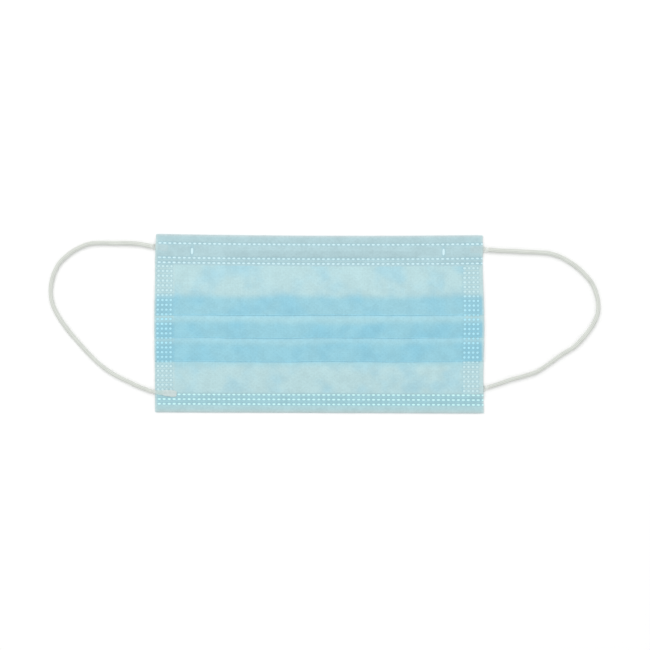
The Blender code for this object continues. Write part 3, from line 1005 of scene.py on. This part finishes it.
class Nodes:
    """Makes nodes in one tree. An input can be a plain value or another node's output."""

    def __init__(self, tree):
        self.tree = tree

    def put(self, socket, value):
        if isinstance(value, bpy.types.NodeSocket):
            self.tree.links.new(value, socket)
        elif value is not None:
            socket.default_value = value

    def node(self, kind, output=0, settings=(), **inputs):
        made = self.tree.nodes.new(kind)
        for name, value in dict(settings).items():
            setattr(made, name, value)
        for name, value in inputs.items():
            self.put(made.inputs[name.replace("_", " ")], value)
        return made.outputs[output]

    def math(self, operation, *values, clamp=False):
        made = self.tree.nodes.new("ShaderNodeMath")
        made.operation = operation
        made.use_clamp = clamp
        for socket, value in zip(made.inputs, values):
            self.put(socket, value)
        return made.outputs[0]

    def map(self, value, low, high, to_low=0.0, to_high=1.0):
        """value moved from low..high to to_low..to_high, softly and kept inside."""
        made = self.tree.nodes.new("ShaderNodeMapRange")
        made.interpolation_type = "SMOOTHSTEP"
        for socket, entry in zip(made.inputs, (value, low, high, to_low, to_high)):
            self.put(socket, entry)
        return made.outputs[0]

    def mix(self, factor, first, second, blend="MIX"):
        made = self.tree.nodes.new("ShaderNodeMix")
        made.data_type = "RGBA"
        made.blend_type = blend
        for name, value in (("Factor_Float", factor), ("A_Color", first), ("B_Color", second)):
            self.put(next(s for s in made.inputs if s.identifier == name), value)
        return next(s for s in made.outputs if s.identifier == "Result_Color")

    def grey(self, value):
        return self.node("ShaderNodeCombineColor", Red=value, Green=value, Blue=value)

    def attribute(self, name, output="Fac"):
        made = self.tree.nodes.new("ShaderNodeAttribute")
        made.attribute_name = name
        return made.outputs[output]


def new_group(name, inputs, outputs):
    """An empty node group. inputs are (name, socket type, value), outputs (name, socket type)."""
    group = bpy.data.node_groups.new(name, "ShaderNodeTree")
    for entry, kind, value in inputs:
        socket = group.interface.new_socket(entry, in_out="INPUT", socket_type=kind)
        if value is not None:
            socket.default_value = value
    for entry, kind in outputs:
        group.interface.new_socket(entry, in_out="OUTPUT", socket_type=kind)
    given = group.nodes.new("NodeGroupInput")
    result = group.nodes.new("NodeGroupOutput")
    return group, given.outputs, result.inputs


def use(nodes, group, **inputs):
    """Places a group in a tree and returns its outputs."""
    made = nodes.tree.nodes.new("ShaderNodeGroup")
    made.node_tree = group
    for name, value in inputs.items():
        nodes.put(made.inputs[name.replace("_", " ")], value)
    return made.outputs


def new_material(name):
    """A material, the helper for its tree, and its Principled shader."""
    material = bpy.data.materials.new(name)
    material.use_nodes = True
    return material, Nodes(material.node_tree), material.node_tree.nodes["Principled BSDF"]


print("a mid grey of the photo becomes", [round(c, 3) for c in seen(128, 128, 128)[:3]])

# %% [markdown]
# ## Bonded fibre
#
# The plies are spunbond: endless fine fibres, laid at random and pressed together at a lattice of
# small bond points. Light shows three scales of it: cloudy patches where more fibre fell, thin
# crossing fibres, and the bonds. One group makes all three, and both plies use it.

# %% Bonded fibre
BOND_PITCH = (1.9, 1.5)  # millimetres across and up the mask
FIBRE_ANGLES = (0.35, -0.5, 1.25)  # radians

spunbond, given, result = new_group(
    "bonded fibre",
    [("Flat", "NodeSocketVector", None)],
    [("Cloud", "NodeSocketFloat"), ("Fibre", "NodeSocketFloat"), ("Bond", "NodeSocketFloat"),
     ("Height", "NodeSocketFloat")],
)
nodes = Nodes(spunbond)
flat = given["Flat"]
patches = nodes.node("ShaderNodeTexNoise", Vector=flat, Scale=0.16, Detail=4.0, Roughness=0.62)
grain = nodes.node("ShaderNodeTexNoise", Vector=flat, Scale=0.9, Detail=3.0, Roughness=0.6)
nodes.put(result["Cloud"], nodes.math("ADD", nodes.math("MULTIPLY", patches, 0.55),
                                      nodes.math("MULTIPLY", grain, 0.45)))
fibre = 0.0
for number, angle in enumerate(FIBRE_ANGLES):
    turned = nodes.node("ShaderNodeMapping", Vector=flat, Rotation=(0, 0, angle),
                        Scale=(0.35, 5.5, 1.0), Location=(7.0 * number, 3.0, 0))
    strand = nodes.node("ShaderNodeTexNoise", Vector=turned, Scale=1.0, Detail=2.0, Distortion=0.6)
    fibre = nodes.math("MAXIMUM", fibre, nodes.map(strand, 0.50, 0.68))
nodes.put(result["Fibre"], fibre)
lattice = nodes.node("ShaderNodeMapping", Vector=flat, Rotation=(0, 0, math.pi / 4),
                     Scale=(1 / BOND_PITCH[0], 1 / BOND_PITCH[1], 1.0))
bond = nodes.node("ShaderNodeTexVoronoi", Vector=lattice, Scale=1.0, Randomness=0.12)
bond = nodes.map(bond, 0.26, 0.16)
nodes.put(result["Bond"], bond)
nodes.put(result["Height"], nodes.math("SUBTRACT", nodes.math("MULTIPLY", fibre, 0.45),
                                       nodes.math("MULTIPLY", bond, 0.55)))
print("group:", spunbond.name, "with", len(spunbond.nodes), "nodes")

# %% [markdown]
# ## The look of a weld
#
# In a weld the fibres are melted to a thin clear film. It lets the white plies below show through, so
# it is paler than the cloth, and it has a darker rim of squeezed cloth. The group works out each mark
# from the place on the flat mask, so the film's edge stays sharp however near one looks. No two marks
# are quite alike.

# %% The look of a weld
welds, given, result = new_group(
    "weld marks",
    [("Flat", "NodeSocketVector", None)],
    [("Film", "NodeSocketFloat"), ("Rim", "NodeSocketFloat")],
)
nodes = Nodes(welds)
place = nodes.tree.nodes.new("ShaderNodeSeparateXYZ")
nodes.put(place.inputs[0], given["Flat"])
flat_x, flat_y = place.outputs["X"], place.outputs["Y"]


def off_grid(value, first, pitch):
    """Distance in millimetres to the nearest of the marks that start at first."""
    turns = nodes.math("DIVIDE", nodes.math("SUBTRACT", value, first), pitch)
    return nodes.math("MULTIPLY", nodes.math("PINGPONG", turns, 0.5), pitch)


def off_line(value, line):
    """Distance in millimetres to one line."""
    return nodes.math("ABSOLUTE", nodes.math("SUBTRACT", value, line))


def oval(first, first_half, second, second_half):
    """Distance from a mark's middle, 1 at its rim."""
    across = nodes.math("POWER", nodes.math("DIVIDE", first, first_half), 2.6)
    along = nodes.math("POWER", nodes.math("DIVIDE", second, second_half), 2.6)
    return nodes.math("ADD", across, along)


def inside(value, low, high):
    """1 between low and high."""
    return nodes.math("MULTIPLY", nodes.math("GREATER_THAN", value, low),
                      nodes.math("LESS_THAN", value, high))


nearest = 10.0
last_dash = FIRST_DASH_X + (DASHES - 1) * DASH_PITCH
dash_x = off_grid(flat_x, FIRST_DASH_X / MM, DASH_PITCH / MM)
beyond = nodes.math("SUBTRACT", 1.0, inside(flat_x, FIRST_DASH_X / MM - 1, last_dash / MM + 1))
for row in DASH_ROWS:
    mark = oval(dash_x, DASH_HALF[0] / MM, off_line(flat_y, row / MM), DASH_HALF[1] / MM)
    nearest = nodes.math("MINIMUM", nearest, nodes.math("MULTIPLY_ADD", beyond, 10.0, mark))
for side in (-1, 1):
    first, last = FIRST_DOT_Y[side], FIRST_DOT_Y[side] - (DOTS - 1) * DOT_PITCH
    dot_y = off_grid(flat_y, first / MM, DOT_PITCH / MM)
    beyond = nodes.math("SUBTRACT", 1.0, inside(flat_y, last / MM - 1, first / MM + 1))
    for column in (c for c in DOT_COLUMNS if c * side > 0):
        mark = oval(off_line(flat_x, column / MM), DOT_HALF[0] / MM, dot_y, DOT_HALF[1] / MM)
        nearest = nodes.math("MINIMUM", nearest, nodes.math("MULTIPLY_ADD", beyond, 10.0, mark))
for tack in TACKS_X:
    mark = oval(off_line(flat_x, tack / MM), TACK_HALF[0] / MM,
                off_line(flat_y, TACK_Y / MM), TACK_HALF[1] / MM)
    nearest = nodes.math("MINIMUM", nearest, mark)
uneven = nodes.node("ShaderNodeTexNoise", Vector=given["Flat"], Scale=0.37, Detail=2.0)
strength = nodes.map(uneven, 0.25, 0.6, 0.74, 1.0)
nodes.put(result["Film"], nodes.math("MULTIPLY", nodes.map(nearest, 1.5, 0.7), strength))
nodes.put(result["Rim"], nodes.math("MULTIPLY", nodes.map(nearest, 9.0, 1.2),
                                    nodes.map(nearest, 0.8, 1.5)))
print("group:", welds.name, "with", len(welds.nodes), "nodes")

# %% [markdown]
# ## The blue outer ply
#
# One layer of the cloth lets the white ground through and looks pale. Under a pleat there are three
# layers, and the blue is deeper. The rows of the cloth carry that as attributes, and this material
# mixes its colours by them: a paler line painted along each pleat's edge against the shade there, a
# strip below it that is pale where one layer lies and painted brighter where the lamp's light falls,
# greyer hems, pressed seals, painted shade along the ridge over the wire, and the loops' ends behind
# the cloth as a faint greyer tone.

# %% Colours of the blue ply
SINGLE = seen(187, 220, 224)
SINGLE_BLUER = seen(172, 214, 225)
TRIPLE = seen(153, 207, 222)
TRIPLE_DEEPER = seen(144, 203, 222)
STRIP = seen(171, 215, 224)
# Painted light: a brighter strip where the lamp's light falls below a pleat's edge.
STRIP_LIT = seen(170, 219, 233)
SEAL_SINGLE = seen(191, 220, 223)
SEAL_TRIPLE = seen(143, 200, 219)
SEAL_STRIP = seen(182, 219, 225)
# Painted light: a paler blue along each pleat's edge that lifts the shade falling on it.
CREASE_PAINTED_LIGHT = seen(169, 228, 245)
NOSE_HEM = seen(179, 210, 216)
CHIN_HEM = seen(177, 212, 217)
BETWEEN_ROWS = seen(156, 203, 214)
NOSE_EDGE = seen(201, 217, 219)
CHIN_EDGE = seen(191, 207, 207)
SIDE_EDGE = seen(198, 221, 222)
BEHIND = seen(190, 208, 210)
FILM_ON_SINGLE = seen(207, 237, 241)
FILM_ON_TRIPLE = seen(181, 238, 253)
FILM_ON_NOSE_HEM = seen(215, 245, 251)
FILM_ON_CHIN_HEM = seen(212, 255, 255)
RIM_SHADE = seen(148, 196, 210)
# Painted shade along the ridge over the wire.
WIRE_SHADE = seen(170, 200, 206)
WEAVE_PATCHES = 0.055  # patches in a millimetre
# Painted shade: the wire's band is darkened as the shade along the ridge over it, while a loop's end
# shows through the cloth.
WIRE_SHADE_SHOWS = 0.6  # how far the wire, and a loop's end, show through the cloth
END_SHOWS = 0.35
RIM_SHOWS = 0.85  # of the long edges, and of the sides
SIDE_SHOWS = 0.8
# How far the painted light along each pleat's edge shows.
CREASE_LIGHT_SHOWS = 0.9
SIDE_RIM = (HALF_WIDTH / MM - 1.6, HALF_WIDTH / MM - 0.1)  # millimetres from the middle
SEAL_RAMP = (SEAL_X / MM - 0.5, SEAL_X / MM + 1.5)
MARK_RIMS = (0.33, 0.48)  # how far a mark's darker rim shows on open cloth, and in the seals
# Half the height of the band of painted shade along the ridge over the wire.
WIRE_BAND = 1.7 * MM  # half the height of the band that the wire darkens
ROW_BANDS = (
    # the first and the last row of dashes, and how far the darker cloth between them shows
    (DASH_ROWS[1], DASH_ROWS[2], 0.08),
    (DASH_ROWS[3], DASH_ROWS[5], 0.7),
)
BAND_DOWN, BAND_WIDER = 0.3 * MM, 0.2 * MM

print("one layer and three:", [[round(c, 2) for c in colour[:3]] for colour in (SINGLE, TRIPLE)])

# %% [markdown]
# The patches are worked out from the flat mask too: the wire, the loops' ends and the cloth between
# two rows of dashes are rounded rectangles on it, with soft rims.

# %% The blue outer ply
def patch(nodes, flat, middle, half, turn=0.0):
    """1 on a rounded rectangle of the flat mask, and 0 away from it."""
    moved = nodes.node("ShaderNodeMapping", settings={"vector_type": "TEXTURE"}, Vector=flat,
                       Location=(middle[0] / MM, middle[1] / MM, 0.0), Rotation=(0.0, 0.0, turn),
                       Scale=(half[0] / MM, half[1] / MM, 1.0))
    parts = nodes.tree.nodes.new("ShaderNodeSeparateXYZ")
    nodes.put(parts.inputs[0], moved)
    powers = [nodes.math("POWER", nodes.math("ABSOLUTE", parts.outputs[k]), 5.0) for k in (0, 1)]
    return nodes.map(nodes.math("ADD", *powers), 2.2, 0.4)


def blue_layers(nodes, flat, from_middle):
    """The ply's colour by what lies under it: one layer or three, a hem or an end, with painted light
    on the strip below each pleat's edge and painted shade along the ridge over the wire.
    """
    seal = nodes.map(from_middle, *SEAL_RAMP)
    patches = nodes.node("ShaderNodeTexNoise", Vector=flat, Scale=WEAVE_PATCHES, Detail=3.0)
    bluer = nodes.map(patches, 0.42, 0.68)
    single = nodes.mix(seal, nodes.mix(bluer, SINGLE, SINGLE_BLUER), SEAL_SINGLE)
    triple = nodes.mix(seal, nodes.mix(bluer, TRIPLE, TRIPLE_DEEPER), SEAL_TRIPLE)
    colour = nodes.mix(nodes.attribute("cover"), single, triple)
    # painted light on the strip below a pleat's edge
    strip = nodes.mix(seal, nodes.mix(nodes.attribute("lit"), STRIP, STRIP_LIT), SEAL_STRIP)
    colour = nodes.mix(nodes.attribute("strip"), colour, strip)
    colour = nodes.mix(nodes.attribute("hem"), colour, NOSE_HEM)
    colour = nodes.mix(nodes.attribute("chin"), colour, CHIN_HEM)
    for first, last, share in ROW_BANDS:
        middle = (first + last) / 2 - BAND_DOWN
        band = patch(nodes, flat, (0.0, middle), (HALF_WIDTH, (first - last) / 2 + BAND_WIDER))
        colour = nodes.mix(nodes.math("MULTIPLY", band, share), colour, BETWEEN_ROWS)
    # painted shade along the ridge over the wire
    wire = patch(nodes, flat, (WIRE_X, WIRE_Y), (WIRE_LENGTH / 2, WIRE_BAND))
    colour = nodes.mix(nodes.math("MULTIPLY", wire, WIRE_SHADE_SHOWS), colour, WIRE_SHADE)
    for end in (end for end in LOOP_ENDS if not end.in_front):
        half = (end.length / 2, TAB_HALF_WIDTH)
        middle = np.array([end.side * HALF_WIDTH, end.y]) - outward(end) * end.length / 2
        tab = patch(nodes, flat, middle, half, math.radians(end.tilt * end.side))
        colour = nodes.mix(nodes.math("MULTIPLY", tab, END_SHOWS), colour, BEHIND)
    return colour


def cloth_surface(nodes, shader, colour, web, film, rough):
    """What both plies share. rough holds the roughness of plain cloth and that of a weld."""
    nodes.put(shader.inputs["Base Color"], colour)
    nodes.put(shader.inputs["Roughness"], nodes.map(film, 0.0, 1.0, *rough))
    height = nodes.math("SUBTRACT", web["Height"], nodes.math("MULTIPLY", film, 2.0))
    normal = nodes.node("ShaderNodeBump", Height=height, Strength=0.35, Distance=0.04 * MM)
    nodes.put(shader.inputs["Normal"], normal)
    shader.inputs["Specular IOR Level"].default_value = 0.25
    shader.inputs["Sheen Weight"].default_value = 0.08
    shader.inputs["Sheen Roughness"].default_value = 0.5


def blue_ply():
    """The outer ply's material."""
    material, nodes, shader = new_material("blue spunbond")
    flat = nodes.attribute("flat", "Vector")
    web = use(nodes, spunbond, Flat=flat)
    marks = use(nodes, welds, Flat=flat)
    place = nodes.tree.nodes.new("ShaderNodeSeparateXYZ")
    nodes.put(place.inputs[0], flat)
    from_middle = nodes.math("ABSOLUTE", place.outputs["X"])
    colour = blue_layers(nodes, flat, from_middle)
    # painted light along each pleat's edge, against the shade there
    colour = nodes.mix(nodes.math("MULTIPLY", nodes.attribute("crease"), CREASE_LIGHT_SHOWS), colour, CREASE_PAINTED_LIGHT)
    side_rim = nodes.map(from_middle, *SIDE_RIM)
    rim_share = nodes.map(from_middle, *SEAL_RAMP, *MARK_RIMS)
    long_edge = nodes.mix(nodes.attribute("hem"), CHIN_EDGE, NOSE_EDGE)
    long_rim = nodes.math("MULTIPLY", nodes.attribute("rim"), RIM_SHOWS)
    colour = nodes.mix(long_rim, colour, long_edge)
    colour = nodes.mix(nodes.math("MULTIPLY", side_rim, SIDE_SHOWS), colour, SIDE_EDGE)
    cloud = nodes.map(web["Cloud"], 0.36, 0.64, 0.935, 1.045)
    fibre = nodes.math("MULTIPLY_ADD", web["Fibre"], 0.045, 0.98)
    shade = nodes.math("MULTIPLY", cloud, fibre)
    shade = nodes.math("MULTIPLY", shade, nodes.math("MULTIPLY_ADD", web["Bond"], -0.035, 1.0))
    colour = nodes.mix(1.0, colour, nodes.grey(shade), "MULTIPLY")
    colour = nodes.mix(nodes.math("MULTIPLY", marks["Rim"], rim_share), colour, RIM_SHADE)
    film = nodes.mix(nodes.attribute("cover"), FILM_ON_SINGLE, FILM_ON_TRIPLE)
    film = nodes.mix(nodes.attribute("hem"), film, FILM_ON_NOSE_HEM)
    film = nodes.mix(nodes.attribute("chin"), film, FILM_ON_CHIN_HEM)
    colour = nodes.mix(marks["Film"], colour, film)
    cloth_surface(nodes, shader, colour, web, marks["Film"], (0.88, 0.42))
    return material


outer.data.materials.append(blue_ply())
print("outer ply:", outer.data.materials[0].name)

# %% [markdown]
# ## The white inner ply
#
# The side towards the skin is undyed. It is the same bonded fibre, with the same welds pressed
# through it, and the blue ply behind it gives it a cool cast.

# %% The white inner ply
SKIN_SIDE = seen(226, 234, 235)
SKIN_SIDE_DEEP = seen(214, 227, 231)
WELD_BACK = seen(190, 216, 224)
WELD_SHOWS = 0.8


def white_ply():
    """The inner ply's material."""
    material, nodes, shader = new_material("white spunbond")
    flat = nodes.attribute("flat", "Vector")
    web = use(nodes, spunbond, Flat=flat)
    marks = use(nodes, welds, Flat=flat)
    colour = nodes.mix(nodes.map(web["Cloud"], 0.36, 0.64), SKIN_SIDE_DEEP, SKIN_SIDE)
    colour = nodes.mix(nodes.math("MULTIPLY", marks["Film"], WELD_SHOWS), colour, WELD_BACK)
    cloth_surface(nodes, shader, colour, web, marks["Film"], (0.9, 0.5))
    return material


inner.data.materials.append(white_ply())
print("inner ply:", inner.data.materials[0].name)

# %% [markdown]
# ## The nose wire
#
# It is a flat strip of soft plastic with a steel core on each side, loose in its casing. It lies on
# the hem's flap, so only the ridge in the cloth shows where it is. The strip is an outline with two
# round cores and a thin web, drawn once and stretched to length.

# %% The nose wire
WIRE_WIDTH = 2.7 * MM
CORE_RADIUS = 0.25 * MM
WEB_HALF = 0.14 * MM
WIRE_REST = 2 * LOWEST + CORE_RADIUS + 0.03 * MM  # height of its middle, on the hem's flap
WIRE_END = 0.75  # share of its section that is left at each end
WIRE_SWAY, WIRE_SWAYS = 0.12 * MM, 40  # sideways, and radians of it in a metre
ARC_STEPS = 10
WIRE_STATIONS = 61


def wire_outline():
    """The strip's section, as (across, height) points that run round it."""
    middle = WIRE_WIDTH / 2 - CORE_RADIUS
    waist = math.asin(WEB_HALF / CORE_RADIUS)
    points = []
    for side in (1, -1):
        start = waist - math.pi if side > 0 else waist
        for step in range(ARC_STEPS + 1):
            angle = start + (2 * math.pi - 2 * waist) * step / ARC_STEPS
            points.append((side * middle + CORE_RADIUS * math.cos(angle), CORE_RADIUS * math.sin(angle)))
    return points


def nose_strip():
    """The strip, with a slight bend left by the packing."""
    outline = wire_outline()
    stations = np.linspace(WIRE_X - WIRE_LENGTH / 2, WIRE_X + WIRE_LENGTH / 2, WIRE_STATIONS)
    verts, faces = [], []
    for number, x in enumerate(stations):
        shrink = WIRE_END if number in (0, WIRE_STATIONS - 1) else 1.0
        sway = WIRE_SWAY * math.sin(WIRE_SWAYS * x)
        dip = NOSE_DIP * (x / HALF_WIDTH) ** 2 - NOSE_HEM_DOWN
        rest = WIRE_REST + puffed(x, WIRE_Y)
        verts += [(x, WIRE_Y + sway + dip + y * shrink, rest + z * shrink) for y, z in outline]
    count = len(outline)
    for ring in range(len(stations) - 1):
        for k in range(count):
            a, b = ring * count + k, ring * count + (k + 1) % count
            faces.append((a, b, b + count, a + count))
    faces.append(tuple(range(count))[::-1])
    faces.append(tuple(range((len(stations) - 1) * count, len(stations) * count)))
    mesh = bpy.data.meshes.new("nose_strip")
    mesh.from_pydata(verts, [], faces)
    mesh.shade_smooth()
    return placed("nose_strip", mesh)


def coated_wire():
    """Soft white plastic, a little dull."""
    material, nodes, shader = new_material("coated wire")
    dust = nodes.node("ShaderNodeTexNoise", Vector=nodes.node("ShaderNodeTexCoord", "Object"),
                      Scale=900.0, Detail=3.0)
    nodes.put(shader.inputs["Base Color"], nodes.mix(dust, seen(214, 216, 212), seen(232, 233, 230)))
    nodes.put(shader.inputs["Roughness"], nodes.map(dust, 0.3, 0.7, 0.38, 0.52))
    nodes.put(shader.inputs["Normal"], nodes.node("ShaderNodeBump", Height=dust, Strength=0.15,
                                                  Distance=0.03 * MM))
    return material


strip = nose_strip()
strip.data.materials.append(coated_wire())
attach(strip, BODY)
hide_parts("nose_wire")
print("nose strip, mm:", [round(side / MM, 2) for side in strip.dimensions])

# %% [markdown]
# ## The yarn of the elastic
#
# Two materials show the same yarn: the round elastic, and its flattened ends, where it is melted. The
# group paints shade into the grooves of the knit and light onto the stitches, paints single filaments
# lighter as if they catch the light, and gives the height for the finest bumps.

# %% The yarn of the elastic
yarn, given, result = new_group(
    "elastic yarn",
    [("Place", "NodeSocketVector", None), ("Groove", "NodeSocketFloat", 0.0),
     ("Stitch", "NodeSocketFloat", 0.0)],
    [("Shade", "NodeSocketFloat"), ("Height", "NodeSocketFloat")],
)
nodes = Nodes(yarn)
filament = nodes.node("ShaderNodeTexNoise", Vector=given["Place"], Scale=5200.0, Detail=3.0,
                      Roughness=0.7)
soil = nodes.node("ShaderNodeTexNoise", Vector=given["Place"], Scale=160.0, Detail=3.0)
# Painted shade in the grooves of the knit, and painted light on the stitches' tops and on single
# filaments.
shade = nodes.math("SUBTRACT", 1.0, nodes.math("MULTIPLY", given["Groove"], 0.30))
shade = nodes.math("MULTIPLY", shade, nodes.math("MULTIPLY_ADD", given["Stitch"], 0.06, 0.96))
shade = nodes.math("MULTIPLY", shade, nodes.map(filament, 0.25, 0.75, 0.93, 1.04))
nodes.put(result["Shade"], nodes.math("MULTIPLY", shade, nodes.map(soil, 0.3, 0.7, 0.97, 1.02)))
nodes.put(result["Height"], nodes.math("MULTIPLY_ADD", filament, 0.6, given["Stitch"]))
print("group:", yarn.name, "with", len(yarn.nodes), "nodes")

# %% [markdown]
# ## Elastic and its melted ends
#
# The yarn is an off-white, matt polyester with a faint green cast. Where the press has melted it, the
# filaments have run together: it is smoother, greyer and a little glossy, and it carries weld marks.

# %% Elastic and its melted ends
ELASTIC = seen(226, 230, 223)
MELTED = seen(199, 215, 214)
MELTED_CLEAR = seen(189, 213, 211)
MELTED_MARK = seen(207, 223, 224)
# Painted light: a paler neck beside the mask's edge, against the shade that falls there.
NECK_PAINTED_LIGHT = seen(243, 248, 244)
NECK_LIGHT_SHOWS = 0.7


def elastic_look(name, melted_end):
    """The yarn's material. melted_end adds the smooth, marked plastic of a welded end."""
    material, nodes, shader = new_material(name)
    place = nodes.node("ShaderNodeTexCoord", "Object")
    look = use(nodes, yarn, Place=place, Groove=nodes.attribute("groove"),
               Stitch=nodes.attribute("stitch"))
    colour = nodes.mix(1.0, ELASTIC, nodes.grey(look["Shade"]), "MULTIPLY")
    height, roughness = look["Height"], 0.9
    if melted_end:
        melted = nodes.attribute("melted")
        in_mm = nodes.node("ShaderNodeMapping", Vector=place, Scale=(1 / MM, 1 / MM, 0.0))
        marks = use(nodes, welds, Flat=in_mm)
        plastic = nodes.mix(nodes.attribute("clear"), MELTED, MELTED_CLEAR)
        plastic = nodes.mix(marks["Film"], plastic, MELTED_MARK)
        cloud = nodes.node("ShaderNodeTexNoise", Vector=in_mm, Scale=0.8, Detail=4.0)
        cloudy = nodes.grey(nodes.map(cloud, 0.3, 0.7, 0.94, 1.04))
        plastic = nodes.mix(1.0, plastic, cloudy, "MULTIPLY")
        colour = nodes.mix(melted, colour, plastic)
        # painted light on the neck, against the shade of the mask's edge
        neck_painted_light = nodes.math("MULTIPLY", nodes.attribute("neck_painted_light"), NECK_LIGHT_SHOWS)
        colour = nodes.mix(neck_painted_light, colour, NECK_PAINTED_LIGHT)
        roughness = nodes.map(melted, 0.0, 1.0, 0.9, 0.5)
        height = nodes.math("MULTIPLY", height, nodes.math("MULTIPLY_ADD", melted, -0.7, 1.0))
        height = nodes.math("SUBTRACT", height, nodes.math("MULTIPLY", cloud, melted))
    nodes.put(shader.inputs["Base Color"], colour)
    nodes.put(shader.inputs["Roughness"], roughness)
    normal = nodes.node("ShaderNodeBump", Height=height, Strength=0.4, Distance=0.05 * MM)
    nodes.put(shader.inputs["Normal"], normal)
    shader.inputs["Specular IOR Level"].default_value = 0.3
    shader.inputs["Sheen Weight"].default_value = 0.15
    return material


knitted_elastic = elastic_look("knitted elastic", melted_end=False)
welded_elastic = elastic_look("welded elastic", melted_end=True)
for elastic, _, _ in elastics.values():
    elastic.data.materials.append(knitted_elastic)
for end in LOOP_ENDS:
    bpy.data.objects[end.name].data.materials.append(welded_elastic)
print("materials:", knitted_elastic.name, "and", welded_elastic.name)

# %% [markdown]
# ## Finish
#
# The box round the solids and the box round everything that shows are kept side by side, and the
# size of the whole mask is printed.

# %% Finish
size = {"cad": solid_box, "visual": [list(corner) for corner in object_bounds()]}
low, high = size["visual"]
print("the whole mask, mm:", [round((b - a) / MM, 1) for a, b in zip(low, high)])
